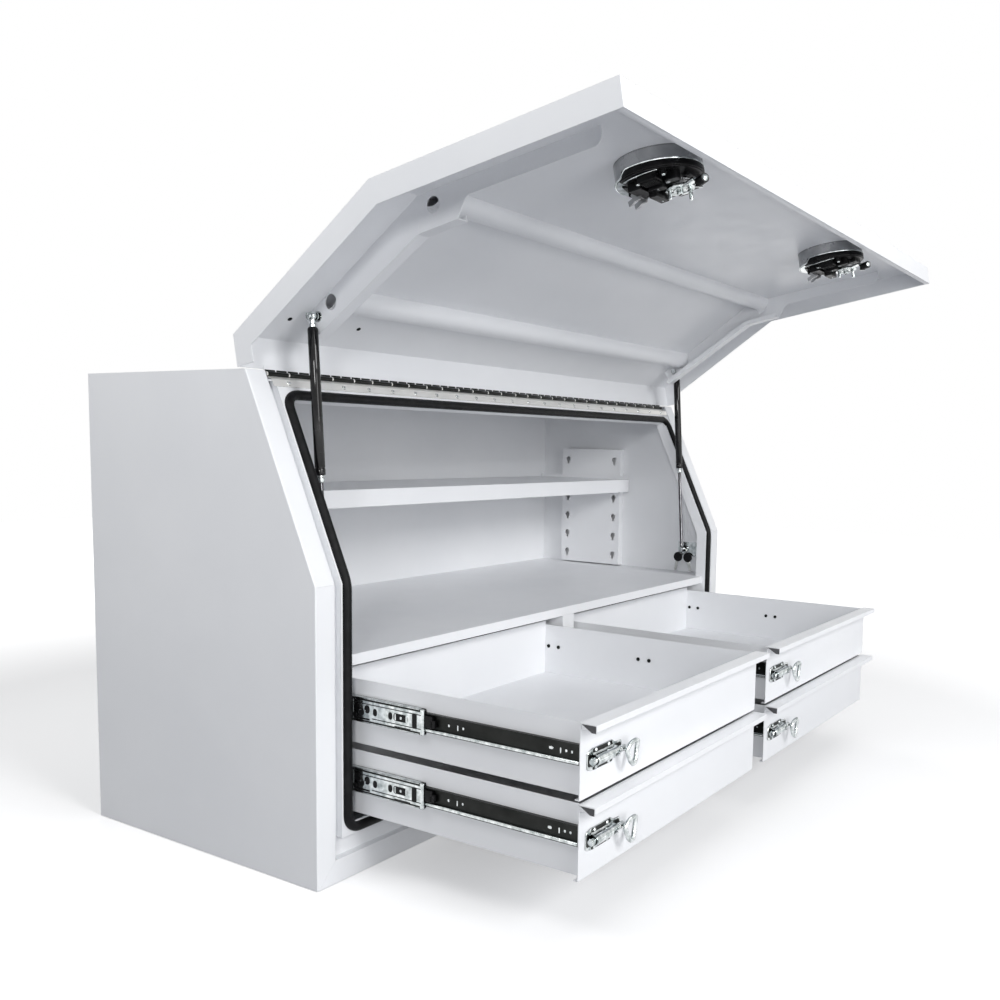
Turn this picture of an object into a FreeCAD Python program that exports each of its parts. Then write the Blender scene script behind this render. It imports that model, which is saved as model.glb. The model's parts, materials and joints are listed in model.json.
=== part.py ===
import FreeCAD, Part

import math
import os

# Gullwing tool box of folded aluminium sheet, shown with the lid open and the drawers out.
# X runs along the front, left to right. Y runs from front to back. Z is up, floor at zero.
# The origin is the middle of the footprint, on the floor. All lengths are millimetres.

# Driving dimensions of the box
overall_width = 1500.0
body_depth = 600.0
body_height = 850.0
knee_height = 503.0
slope_run = 160.0
body_sheet = 2.5
overrun = 60.0

# Lid shell
lid_sheet = 2.0
lid_side_gap = 1.0
lid_offset = 50.0
lid_skirt = 40.0
lid_top_rise = 1.0
lid_bottom_height = 84.0
lid_open_angle = 100.0

# Front frame, measured from the outer side of the body
band_width = 40.0
gutter_width = 15.0
gutter_depth = 14.0
lip_width = 22.0
return_depth = 28.0
sill_gutter_width = 33.0
header_low_drop = 44.0
header_high_drop = 15.0
header_return_depth = 20.0
riser_setback = 23.5
fold_radius = 2.0

# Door seal
seal_width = 17.0
seal_height = 9.5
seal_edge_gap = 2.0
seal_corner_radius = 20.0

# Hinge
hinge_setback = 168.0
hinge_drop = 5.0
barrel_radius = 4.0
pin_radius = 1.95
pin_clearance = 0.05
leaf_sheet = 1.2
leaf_low_drop = 26.0
hinge_end_margin = 51.0
knuckle_pitch = 50.0
knuckle_gap = 0.3
lid_edge_setback = 9.0
lid_leaf_reach = 16.0
rivet_line_drop = 20.0
rivet_pitch = 63.3
rivet_end_margin = 73.0
rivet_radius = 3.6
rivet_head_height = 1.4

# Drawer case
deck_top_height = 379.0
deck_lip_height = 19.0
deck_front_setback = 10.0
deck_sheet = 2.0
case_back_gap = 40.0
divider_half_width = 22.0
divider_sheet = 1.5
divider_front_setback = 10.0
divider_sill_setback = 18.0
divider_sill_clearance = 1.0

# Drawers
drawer_travel = 482.0
drawer_face_setback = 30.0
drawer_sill_gap = 7.0
drawer_deck_gap = 19.5
drawer_gap = 4.5
drawer_side_gap = 5.0
drawer_sheet = 1.5
drawer_length = 500.0
drawer_count_high = 2
finger_lip_depth = 28.0
finger_lip_drop = 10.0
finger_lip_radius = 2.0
front_hem = 8.0
tray_floor_rise = 6.0
tray_back_rise = 8.0

# Ball slides
slide_thickness = 12.7
slide_axis_drop = 49.0
slide_start_gap = 2.0
slide_length = 480.0
slide_fixed_height = 46.0
slide_fixed_sheet = 1.2
slide_fixed_reach = 10.5
slide_middle_height = 42.0
slide_middle_sheet = 1.4
slide_middle_gap = 1.0
slide_middle_reach = 9.0
slide_middle_setback = 54.0
slide_inner_height = 31.0
slide_inner_sheet = 1.4
slide_inner_reach = 7.0
slide_cage_gap = 0.3
slide_cage_length = 90.0
slide_stop_length = 12.0
slide_rivet_radius = 4.0
slide_rivet_height = 1.2
slide_rivet_pair = 26.0
slide_rivet_first = 235.0
slide_rivet_second = 463.0

# Drawer latches
latch_side_margin = 17.0
latch_plate_length = 98.0
latch_plate_height = 28.0
latch_plate_sheet = 2.0
latch_plate_radius = 9.0
latch_axis_rise = 55.0
bolt_radius = 5.0
bolt_clearance = 0.05
bolt_lift = 1.0
bolt_length = 99.0
bolt_tip_margin = 2.0
bolt_hole_clearance = 0.6
guide_wall = 3.0
guide_first = 7.0
guide_first_length = 12.0
guide_second = 34.0
guide_second_length = 18.0
latch_ring_radius = 17.0
latch_ring_wire = 2.2
latch_ring_drop = 8.0

# Shelf and keyhole plates
shelf_height_share = 0.5478
shelf_lip_height = 36.0
shelf_setback = 282.0
shelf_back_gap = 3.0
shelf_sheet = 2.0
shelf_end_rise = 9.0
hole_plate_stand = 20.0
hole_plate_sheet = 2.0
hole_plate_setback = 313.0
hole_plate_width = 204.0
hole_plate_low_gap = 3.0
hole_plate_top_gap = 126.0
keyhole_radius = 7.5
keyhole_slot = 7.0
keyhole_drop = 14.0
keyhole_rows = 6
keyhole_end_margin = 31.0
keyhole_side_margin = 21.0

# Lid stiffeners and rails
stiffener_inset = 105.0
stiffener_flange = 25.0
stiffener_lip = 10.0
stiffener_sheet = 2.0
stiffener_tip_rise = 94.0
stiffener_tip_depth = 26.0
stiffener_corner_radius = 14.0
stiffener_notch_drop = 83.0
stiffener_gusset_drop = 60.0
stiffener_gusset_depth = 56.0
stiffener_elbow_rise = 20.0
stiffener_elbow_depth = 58.0
stiffener_end_depth = 42.0
stiffener_end_margin = 64.0
stiffener_hole_radius = 13.0
stiffener_hole_low_drop = 17.0
stiffener_hole_low_depth = 22.0
stiffener_hole_high_drop = 150.0
stiffener_hole_high_depth = 15.0
rail_radius = 24.0
rail_sheet = 1.5
front_rail_drop = 14.0
rear_rail_share = 0.613

# Gas struts
strut_inset = 92.0
strut_low_setback = 68.0
strut_low_rise = 73.0
strut_stud_drop = 112.3
strut_stud_depth = 16.4
strut_tube_radius = 8.8
strut_tube_share = 0.505
strut_tube_margin = 18.0
strut_rod_radius = 4.0
strut_rod_share = 0.57
strut_clearance = 0.06
strut_socket_radius = 6.5
strut_neck_radius = 5.0
strut_eye_width = 10.0
strut_eye_radius = 8.0
strut_pin_radius = 4.0
strut_head_radius = 6.5
strut_head_height = 1.8
strut_washer_radius = 9.0
strut_washer_sheet = 1.5
strut_nut_radius = 7.5
strut_nut_height = 5.0
strut_nut_sides = 6
strut_side_gap = 0.3
bracket_rise = 20.0
bracket_drop = 18.0
bracket_reach = 16.0

# Keys on the right strut bracket
key_ring_radius = 10.0
key_ring_wire = 0.9
key_head_radius = 11.0
key_head_thickness = 3.0
key_hole_radius = 2.4
key_hole_margin = 3.6
key_blade_length = 27.0
key_blade_width = 8.0
key_blade_thickness = 2.0
key_splay_angle = 36.0
key_layer_gap = 0.2

# Lid locks
lock_left_place = 292.0
lock_pitch = 788.0
dish_rise = 107.0
dish_radius = 68.0
dish_sheet = 1.5
dish_depth = 30.0
dish_flange = 8.0
dish_clearance = 0.2
spindle_offset = 10.0
spindle_drop = 27.0
spindle_radius = 8.0
spindle_clearance = 0.05
housing_depth = 17.0
housing_left = 74.0
housing_right = 22.0
housing_low = 21.0
housing_high = 46.0
housing_chamfer = 16.0
cam_disc_radius = 19.0
cam_disc_thickness = 3.7
cam_disc_gap = 0.3
cam_post_radius = 2.2
cam_post_place = 14.0
cam_post_height = 9.0
cam_nose_radius = 4.4
cam_arm_width = 14.0
cam_arm_sheet = 3.0
cam_arm_reach = 54.0
roller_radius = 7.0
roller_start = 54.3
roller_length = 19.7
roller_axis_setback = 10.0
roller_pin_radius = 2.5
cam_rest_angle = 33.0
handle_bar_half = 33.0
handle_bar_height = 17.0
handle_bar_thickness = 9.0
handle_recess = 3.0
handle_hub_radius = 14.0
key_barrel_radius = 8.0
key_barrel_rise = 2.0

# Values worked out from the driving dimensions
half_width = overall_width / 2
header_low_height = body_height - header_low_drop
header_high_height = body_height - header_high_drop
hinge_height = body_height - hinge_drop
leaf_low_height = body_height - leaf_low_drop
rivet_line_height = body_height - rivet_line_drop
front = -body_depth / 2
back = body_depth / 2
body_half = half_width - lid_sheet - lid_side_gap
inner_half = body_half - body_sheet
lip_start = band_width + gutter_width
edge_inset = lip_start + lip_width
open_half = body_half - edge_inset
sill_lip_start = band_width + sill_gutter_width
sill_height = sill_lip_start + lip_width
slope_rise = body_height - knee_height
slope_angle = math.atan2(slope_rise, slope_run)
slope_length = math.hypot(slope_run, slope_rise)
right_angle = 90.0
knee_turn = right_angle - math.degrees(slope_angle)
gutter_floor = gutter_depth + body_sheet
riser_face = front + slope_run + riser_setback
hinge_axis_y = front + hinge_setback
hinge_half = half_width - hinge_end_margin
lid_top = body_height + lid_top_rise
lid_front = front - lid_offset
lid_inner_front = lid_front + lid_sheet
deck_under = deck_top_height - deck_lip_height
drawer_low_height = sill_height + drawer_sill_gap
drawer_room = deck_under - drawer_deck_gap - drawer_low_height + drawer_gap
drawer_pitch = drawer_room / drawer_count_high
drawer_front_height = drawer_pitch - drawer_gap
bay_width = open_half - divider_half_width
column_pitch = open_half + divider_half_width
drawer_face = front + drawer_face_setback
tray_width = bay_width - 2 * slide_thickness
tray_back = drawer_face + drawer_length
latch_axis_face = latch_plate_sheet + bolt_lift + bolt_radius
strut_x = half_width - strut_inset
strut_low_y = front + strut_low_setback
strut_low_height = deck_top_height + strut_low_rise
stiffener_face = half_width - stiffener_inset
rail_half = stiffener_face - stiffener_sheet
dish_height = lid_bottom_height + dish_rise
spindle_height = dish_height - spindle_drop

X_AXIS = FreeCAD.Vector(1, 0, 0)
Y_AXIS = FreeCAD.Vector(0, 1, 0)
Z_AXIS = FreeCAD.Vector(0, 0, 1)
ORIGIN = FreeCAD.Vector(0, 0, 0)
HINGE_POINT = FreeCAD.Vector(0, hinge_axis_y, hinge_height)


def point(x, y, z):
    return FreeCAD.Vector(x, y, z)


def block(x0, x1, y0, y1, z0, z1):
    return Part.makeBox(x1 - x0, y1 - y0, z1 - z0, point(x0, y0, z0))


def rod(start, axis, radius, length):
    return Part.makeCylinder(radius, length, start, axis)


def join(shapes):
    whole = shapes[0]
    if len(shapes) > 1:
        whole = shapes[0].fuse(shapes[1:])
    return whole.removeSplitter()


def group(shapes):
    return Part.makeCompound(shapes)


def face_of(points):
    return Part.Face(Part.makePolygon(points + [points[0]]))


def slab_x(outline, x0, x1):
    """Carries a flat outline of (y, z) points along X from x0 to x1."""
    return face_of([point(x0, y, z) for y, z in outline]).extrude(point(x1 - x0, 0, 0))


def slab_y(outline, y0, y1):
    """Carries a flat outline of (x, z) points along Y from y0 to y1."""
    return face_of([point(x, y0, z) for x, z in outline]).extrude(point(0, y1 - y0, 0))


def offset_path(path, distance):
    """Moves an open path of (y, z) points to the right of its direction, with mitred corners."""
    normals = []
    for start, end in zip(path[:-1], path[1:]):
        span = math.hypot(end[0] - start[0], end[1] - start[1])
        normals.append(((end[1] - start[1]) / span, (start[0] - end[0]) / span))
    moved = [(path[0][0] + distance * normals[0][0], path[0][1] + distance * normals[0][1])]
    for place, before, after in zip(path[1:-1], normals[:-1], normals[1:]):
        scale = distance / (1 + before[0] * after[0] + before[1] * after[1])
        moved.append((place[0] + scale * (before[0] + after[0]), place[1] + scale * (before[1] + after[1])))
    last = normals[-1]
    moved.append((path[-1][0] + distance * last[0], path[-1][1] + distance * last[1]))
    return moved


def strip(path, near, far, x0, x1):
    """A folded sheet between two offsets of a path, from x0 to x1."""
    return slab_x(offset_path(path, near) + offset_path(path, far)[::-1], x0, x1)


def mirrored(shape):
    return shape.mirror(ORIGIN, X_AXIS)


def opened(shape):
    """Turns a piece of the closed lid to the open pose."""
    turned = shape.copy()
    turned.rotate(HINGE_POINT, X_AXIS, -lid_open_angle)
    return turned


def slope_y(height):
    """Y of the sloping front plane at a height."""
    return front + (height - knee_height) * slope_run / slope_rise


def lid_slope_place(drop, depth):
    """Place (y, z) in the closed lid: a drop down the slope from its top, a depth under the skin."""
    along = slope_length - drop
    lift = lid_offset - lid_sheet - depth
    place_y = front + along * math.cos(slope_angle) - lift * math.sin(slope_angle)
    place_z = knee_height + along * math.sin(slope_angle) + lift * math.cos(slope_angle)
    return place_y, place_z


# The upper stud of a strut, in the closed lid and in the open one, and the strut between its pivots
stud_closed = point(0, *lid_slope_place(strut_stud_drop, strut_stud_depth))
stud_open = opened(Part.Vertex(stud_closed)).Point
strut_reach = math.hypot(stud_open.y - strut_low_y, stud_open.z - strut_low_height)
strut_lean = math.degrees(math.atan2(stud_open.y - strut_low_y, stud_open.z - strut_low_height))
strut_tube_length = strut_tube_share * strut_reach
strut_rod_length = strut_rod_share * strut_reach


def save(name, shape):
    shape.exportStep(os.path.join("parts", name + ".step"))


# Outline of the body's front, from the floor up, and the same with both ends run on
front_path = [(front, 0), (front, knee_height), (front + slope_run, body_height)]
over_scale = 1 + overrun / slope_length
long_path = [
    (front, -overrun),
    (front, knee_height),
    (front + slope_run * over_scale, knee_height + slope_rise * over_scale),
]


def height_clip(shape, z0, z1):
    return shape.common(block(-overall_width, overall_width, -overall_width, overall_width, z0, z1))


def mitre_region(upper):
    """The front corner, seen from the front, that belongs to the side (upper) or to the sill."""
    joint = [
        (-body_half, 0),
        (-body_half + band_width, band_width),
        (-body_half + lip_start, sill_lip_start),
        (-open_half, sill_height),
    ]
    if upper:
        rest = [(0, sill_height), (0, body_height + overrun), (-overall_width, body_height + overrun)]
        rest = rest + [(-overall_width, -overrun), (-body_half - overrun, -overrun)]
    else:
        rest = [(0, sill_height), (0, -overrun), (-body_half - overrun, -overrun)]
    return slab_y(joint + rest, front - overrun, front + body_depth)


def side_panel():
    """Left side sheet with its folded front band."""
    outline = front_path + [(back, body_height), (back, 0)]
    sheet = slab_x(outline, -body_half, -inner_half)
    band = height_clip(strip(long_path, 0, body_sheet, -body_half, -body_half + band_width), 0, body_height)
    band = band.common(mitre_region(True))
    cap_y = slope_y(body_height)
    cap = block(-body_half, -body_half + band_width, cap_y, riser_face, body_height - body_sheet, body_height)
    panel = join([sheet, band, cap])
    folds = []
    for edge in panel.Edges:
        middle = edge.CenterOfMass
        on_side = abs(middle.x + body_half) < fold_radius / 2
        on_front = any(abs(middle.y - y) < fold_radius / 2 and abs(middle.z - z) < fold_radius / 2
                       for y, z in ((front, knee_height / 2),
                                    (front + slope_run / 2, (knee_height + body_height) / 2)))
        if on_side and on_front:
            folds.append(edge)
    return panel.makeFillet(fold_radius, folds)


def stile():
    """Left upright of the front frame: gutter, lip and return, with holes for the latch bolts."""
    side = -body_half
    gutter_x = side + band_width
    lip_x = side + lip_start
    pieces = [
        strip(long_path, body_sheet, gutter_floor, gutter_x - body_sheet, gutter_x),
        strip(long_path, gutter_depth, gutter_floor, gutter_x - body_sheet, lip_x + body_sheet),
        strip(long_path, 0, gutter_floor, lip_x, lip_x + body_sheet),
        strip(long_path, 0, body_sheet, lip_x, -open_half),
        strip(long_path, 0, return_depth, -open_half - body_sheet, -open_half),
    ]
    upright = height_clip(join(pieces), 0, header_high_height - body_sheet)
    return upright.common(mitre_region(True))


def bolt_holes(x0, x1):
    """Holes at the height of each tier's latch bolt."""
    holes = []
    for tier in range(drawer_count_high):
        z = drawer_low_height + tier * drawer_pitch + latch_axis_rise
        start = point(x0, drawer_face - latch_axis_face, z)
        holes.append(rod(start, X_AXIS, bolt_radius + bolt_hole_clearance, x1 - x0))
    return holes


def stile_left():
    return stile().cut(bolt_holes(-open_half - 2 * body_sheet, -open_half + body_sheet))


def sill():
    """Bottom rail of the front frame, mitred into both sides."""
    outline = [
        (front, 0),
        (front, band_width),
        (front + gutter_floor - body_sheet, band_width),
        (front + gutter_floor - body_sheet, sill_lip_start),
        (front, sill_lip_start),
        (front, sill_height),
        (front + body_sheet, sill_height),
        (front + body_sheet, sill_lip_start + body_sheet),
        (front + gutter_floor, sill_lip_start + body_sheet),
        (front + gutter_floor, band_width - body_sheet),
        (front + body_sheet, band_width - body_sheet),
        (front + body_sheet, 0),
    ]
    bar = slab_x(outline, -inner_half, inner_half)
    left = bar.common(mitre_region(False))
    return join([left, mirrored(left)])


def header():
    """Top rail of the front frame: sloping face, inward return, shelf and riser for the hinge."""
    low = (slope_y(header_low_height), header_low_height)
    high = (slope_y(header_high_height), header_high_height)
    cos_slope = math.cos(slope_angle)
    sin_slope = math.sin(slope_angle)
    face = strip([low, high], 0, body_sheet, -open_half, open_half)
    ledge = (low[0] + body_sheet * cos_slope, low[1] + body_sheet * sin_slope)
    lower_fold = strip([low, ledge], 0, header_return_depth, -open_half, open_half)
    gutter_x = body_half - band_width
    shelf_low = header_high_height - body_sheet
    shelf = block(-gutter_x, gutter_x, high[0], riser_face + body_sheet, shelf_low, header_high_height)
    top_under = body_height - body_sheet
    riser = block(-gutter_x, gutter_x, riser_face, riser_face + body_sheet, shelf_low, top_under)
    return join([face, lower_fold, shelf, riser])


def seal_section():
    """Flat-backed bulb section in the XZ plane, bulb to +Z."""
    half = seal_width / 2
    shoulder = seal_height - half
    corners = [point(half, 0, 0), point(half, 0, shoulder), point(-half, 0, shoulder), point(-half, 0, 0)]
    crown = Part.Arc(corners[1], point(0, 0, seal_height), corners[2]).toShape()
    sides = [Part.makeLine(corners[0], corners[1]), crown, Part.makeLine(corners[2], corners[3])]
    return Part.Face(Part.Wire(sides + [Part.makeLine(corners[3], corners[0])]))


def seal_run(half_span, length):
    """Two legs along +Y joined by a cross run with round corners, on the XY plane, bulb to +Z."""
    straight = length - seal_corner_radius
    pieces = []
    for side in (-1, 1):
        foot = seal_section()
        foot.translate(point(side * half_span, 0, 0))
        pieces.append(foot.extrude(point(0, straight, 0)))
        bend = seal_section()
        bend.translate(point(side * half_span, straight, 0))
        centre = point(side * (half_span - seal_corner_radius), straight, 0)
        pieces.append(bend.revolve(centre, Z_AXIS, side * right_angle))
    cross = seal_section()
    cross.rotate(ORIGIN, Z_AXIS, right_angle)
    cross.translate(point(-half_span + seal_corner_radius, length, 0))
    pieces.append(cross.extrude(point(2 * (half_span - seal_corner_radius), 0, 0)))
    return pieces


def door_seal():
    """Closed loop of bulb seal on the lip of the front frame."""
    half_span = open_half + seal_edge_gap + seal_width / 2
    knee = point(0, front, knee_height)
    low_length = knee_height - (sill_height - seal_edge_gap - seal_width / 2)
    seal_rise = header_low_height + (seal_edge_gap + seal_width / 2) * math.sin(slope_angle)
    high_length = (seal_rise - knee_height) / math.sin(slope_angle)
    slope_up = point(0, math.cos(slope_angle), math.sin(slope_angle))
    slope_out = point(0, -math.sin(slope_angle), math.cos(slope_angle))
    low_turn = FreeCAD.Rotation(-X_AXIS, -Z_AXIS, -Y_AXIS, "XYZ")
    high_turn = FreeCAD.Rotation(X_AXIS, slope_up, slope_out, "XYZ")
    pieces = []
    for length, turn in ((low_length, low_turn), (high_length, high_turn)):
        for piece in seal_run(half_span, length):
            piece.Placement = FreeCAD.Placement(knee, turn).multiply(piece.Placement)
            pieces.append(piece)
    for side in (-1, 1):
        wedge = seal_section()
        wedge.translate(point(side * half_span, 0, 0))
        wedge.Placement = FreeCAD.Placement(knee, high_turn).multiply(wedge.Placement)
        pieces.append(wedge.revolve(knee, X_AXIS, knee_turn))
    return join(pieces)


def cabinet():
    save("side_panel_left", side_panel())
    save("side_panel_right", mirrored(side_panel()))
    save("frame_stile_left", stile_left())
    save("frame_stile_right", mirrored(stile()))
    save("frame_sill", sill())
    save("frame_header", header())
    save("door_seal", door_seal())
    top_under = body_height - body_sheet
    back_inner = back - body_sheet
    save("top_panel", block(-inner_half, inner_half, riser_face, back_inner, top_under, body_height))
    save("back_panel", block(-inner_half, inner_half, back - body_sheet, back, 0, body_height))
    base_front = front + body_sheet
    save("base_panel", block(-inner_half, inner_half, base_front, back - body_sheet, 0, body_sheet))


def drawer_deck():
    """Deck over the drawers with its front lip and the two outer case walls."""
    plate_low = deck_top_height - deck_sheet
    behind = front + return_depth
    case_back = back - body_sheet - case_back_gap
    plate = block(-inner_half, inner_half, behind, back - body_sheet, plate_low, deck_top_height)
    tongue = block(-open_half, open_half, front + deck_front_setback, behind, plate_low, deck_top_height)
    lip_back = front + deck_front_setback + deck_sheet
    lip = block(-open_half, open_half, front + deck_front_setback, lip_back, deck_under, deck_top_height)
    walls = []
    for side in (-1, 1):
        x0 = min(side * open_half, side * (open_half + body_sheet))
        walls.append(block(x0, x0 + body_sheet, behind, case_back, body_sheet, plate_low))
    return join([plate, tongue, lip] + walls)


def drawer_divider():
    """Folded post between the two drawer columns, open at the back."""
    top = deck_top_height - deck_sheet
    case_back = back - body_sheet - case_back_gap
    lip_back = front + deck_front_setback + deck_sheet
    low = sill_height + divider_sill_clearance
    half = divider_half_width
    nose = front + divider_front_setback
    step = front + divider_sill_setback
    pieces = [block(-half, half, nose, nose + divider_sheet, low, deck_under)]
    for x0 in (-half, half - divider_sheet):
        x1 = x0 + divider_sheet
        pieces.append(block(x0, x1, nose, step, low, deck_under))
        pieces.append(block(x0, x1, step, case_back, body_sheet, deck_under))
        pieces.append(block(x0, x1, lip_back, case_back, deck_under, top))
    post = join(pieces)
    return post.cut(bolt_holes(half - 2 * divider_sheet, half + divider_sheet))


def keyhole(x0, x1, y, z):
    bulb = rod(point(x0, y, z), X_AXIS, keyhole_radius, x1 - x0)
    slot = block(x0, x1, y - keyhole_slot / 2, y + keyhole_slot / 2, z - keyhole_drop, z)
    return bulb.fuse(slot)


def keyhole_plate():
    """Left plate that stands off the side panel, with two columns of keyholes for the shelf."""
    y0 = front + hole_plate_setback
    y1 = y0 + hole_plate_width
    z0 = deck_top_height + hole_plate_low_gap
    z1 = body_height - hole_plate_top_gap
    row_pitch = (z1 - z0 - 2 * keyhole_end_margin) / (keyhole_rows - 1)
    outer = -inner_half + hole_plate_stand
    inner = outer - hole_plate_sheet
    plate = block(inner, outer, y0, y1, z0, z1)
    wings = [block(-inner_half, inner, y, y + hole_plate_sheet, z0, z1) for y in (y0, y1 - hole_plate_sheet)]
    plate = join([plate] + wings)
    holes = []
    for row in range(keyhole_rows):
        z = z0 + keyhole_end_margin + row * row_pitch
        for y in (y0 + keyhole_side_margin, y1 - keyhole_side_margin):
            holes.append(keyhole(inner - hole_plate_sheet, outer + hole_plate_sheet, y, z))
    return plate.cut(holes)


def shelf():
    """Folded shelf between the keyhole plates, with lips front and back and raised ends."""
    half = inner_half - hole_plate_stand
    y0 = front + shelf_setback
    y1 = back - body_sheet - shelf_back_gap
    z1 = deck_top_height + shelf_height_share * (body_height - deck_top_height)
    z0 = z1 - shelf_lip_height
    pieces = [
        block(-half, half, y0, y1, z1 - shelf_sheet, z1),
        block(-half, half, y0, y0 + shelf_sheet, z0, z1),
        block(-half, half, y1 - shelf_sheet, y1, z0, z1),
    ]
    for x0 in (-half, half - shelf_sheet):
        pieces.append(block(x0, x0 + shelf_sheet, y0, y1, z1, z1 + shelf_end_rise))
    return join(pieces)


def interior():
    save("drawer_deck", drawer_deck())
    save("drawer_divider", drawer_divider())
    plate = keyhole_plate()
    save("keyhole_plates", group([plate, mirrored(plate)]))
    save("shelf", shelf())


# Outer outline of the closed lid, from the bottom edge up to the hinge end
def lid_outline():
    knee_side = offset_path([(front, 0), (front, knee_height), (front + slope_run, body_height)], -lid_offset)
    lower_bend = knee_side[1]
    slope_top = knee_side[2]
    gain = (lid_top - slope_top[1]) / slope_rise
    upper_bend = (slope_top[0] + slope_run * gain, lid_top)
    rear_edge = (hinge_axis_y - lid_edge_setback, lid_top)
    return [(lid_front, lid_bottom_height), lower_bend, upper_bend, rear_edge]


lid_path = lid_outline()


def lock_places():
    left = -half_width + lock_left_place
    return left, left + lock_pitch


def lid_skin():
    """Folded lid shell with side skirts and a folded bottom edge."""
    pieces = [strip(lid_path, 0, lid_sheet, -half_width, half_width)]
    for x0 in (-half_width, half_width - lid_sheet):
        pieces.append(strip(lid_path, 0, lid_skirt, x0, x0 + lid_sheet))
    low = lid_bottom_height
    pieces.append(block(-half_width, half_width, lid_front, lid_front + lid_skirt, low, low + lid_sheet))
    shell = join(pieces)
    holes = []
    for x in lock_places():
        start = point(x, lid_front - lid_sheet, dish_height)
        holes.append(rod(start, Y_AXIS, dish_radius + dish_clearance, 3 * lid_sheet))
    return shell.cut(holes)


def stiffener_edge():
    """Inner edge of a stiffener, from its tip near the bottom of the lid up towards the hinge."""
    skin_y = lid_inner_front
    tip_height = lid_bottom_height + stiffener_tip_rise
    sin_slope = math.sin(slope_angle)
    cos_slope = math.cos(slope_angle)
    inner_path = offset_path(lid_path, lid_sheet)
    upper = inner_path[2]
    end_skin = (upper[0] - stiffener_end_margin * cos_slope, upper[1] - stiffener_end_margin * sin_slope)
    end_edge = (end_skin[0] + stiffener_end_depth * sin_slope, end_skin[1] - stiffener_end_depth * cos_slope)
    edge = [
        (skin_y, tip_height),
        (skin_y + stiffener_tip_depth, tip_height),
        (skin_y + stiffener_tip_depth, knee_height - stiffener_notch_drop),
        (skin_y + stiffener_gusset_depth, knee_height - stiffener_gusset_drop),
        (skin_y + stiffener_elbow_depth, knee_height + stiffener_elbow_rise),
        end_edge,
        end_skin,
    ]
    return edge, inner_path[1]


def stiffener():
    """Left lid stiffener: a web on the skin with two holes, a flange on its deep part and a return lip."""
    edge, bend = stiffener_edge()
    outer_x = -stiffener_face
    inner_x = outer_x + stiffener_flange
    web = slab_x(edge + [bend], outer_x, outer_x + stiffener_sheet)
    corners = []
    for line in web.Edges:
        middle = line.CenterOfMass
        if abs(middle.x - outer_x - stiffener_sheet / 2) < pin_clearance:
            near = [math.hypot(middle.y - y, middle.z - z) < stiffener_sheet for y, z in edge[1:3]]
            if any(near):
                corners.append(line)
    web = web.makeFillet(stiffener_corner_radius, corners)
    fold = edge[3:-1]
    flange = strip(fold, -stiffener_sheet, 0, outer_x, inner_x)
    lip = strip(fold, -stiffener_lip, 0, inner_x - stiffener_sheet, inner_x)
    places = [
        (lid_inner_front + stiffener_hole_low_depth, knee_height - stiffener_hole_low_drop),
        lid_slope_place(stiffener_hole_high_drop, stiffener_hole_high_depth),
    ]
    holes = []
    for y, z in places:
        start = point(outer_x - stiffener_sheet, y, z)
        holes.append(rod(start, X_AXIS, stiffener_hole_radius, 3 * stiffener_sheet))
    return join([web, flange, lip]).cut(holes)


def rail(y, z, room):
    """Half-round cross rail about a line on the lid's skin, kept to the room inside the skin."""
    start = point(-rail_half, y, z)
    bar = rod(start, X_AXIS, rail_radius, 2 * rail_half)
    bore = rod(start, X_AXIS, rail_radius - rail_sheet, 2 * rail_half)
    return bar.cut(bore).common(room)


def front_rail():
    """Cross rail just below the lower bend of the lid."""
    z = knee_height - front_rail_drop
    reach = 2 * rail_radius
    room = block(-rail_half, rail_half, lid_inner_front, lid_inner_front + reach, z - reach, z + reach)
    return rail(lid_inner_front, z, room)


def rear_rail():
    """Cross rail on the sloping part of the lid."""
    lift = lid_offset - lid_sheet
    along = rear_rail_share * slope_length
    y, z = lid_slope_place(slope_length - along, 0)
    spans = (along - 2 * rail_radius, along + 2 * rail_radius)
    foot = [(front + s * math.cos(slope_angle), knee_height + s * math.sin(slope_angle)) for s in spans]
    return rail(y, z, strip(foot, -lift, 2 * rail_radius - lift, -rail_half, rail_half))


def knuckles(first):
    """Every second knuckle of the hinge, with its bore."""
    count = int(round(2 * hinge_half / knuckle_pitch))
    pitch = 2 * hinge_half / count
    tubes = []
    for index in range(first, count, 2):
        start = point(-hinge_half + index * pitch + knuckle_gap / 2, hinge_axis_y, hinge_height)
        length = pitch - knuckle_gap
        outer = rod(start, X_AXIS, barrel_radius, length)
        tubes.append((outer, start, length))
    return tubes


def leaf_with_knuckles(leaf, tubes, rivets):
    """A hinge leaf cut free between its own knuckles, joined to them and bored for the pin."""
    gap_radius = barrel_radius + knuckle_gap
    swept = rod(point(-hinge_half, hinge_axis_y, hinge_height), X_AXIS, gap_radius, 2 * hinge_half)
    plate = leaf.cut(swept)
    necks = []
    for outer, start, length in tubes:
        near = leaf.common(block(start.x, start.x + length, front, back, 0, lid_top))
        necks.append(near.fuse(outer))
    bore_start = point(-hinge_half, hinge_axis_y, hinge_height)
    bore = rod(bore_start, X_AXIS, pin_radius + pin_clearance, 2 * hinge_half)
    body = join([plate] + necks).cut(bore)
    return join([body] + rivets)


def rivet_xs():
    count = int((overall_width - 2 * rivet_end_margin) // rivet_pitch) + 1
    first = -(count - 1) * rivet_pitch / 2
    return [first + index * rivet_pitch for index in range(count)]


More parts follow.
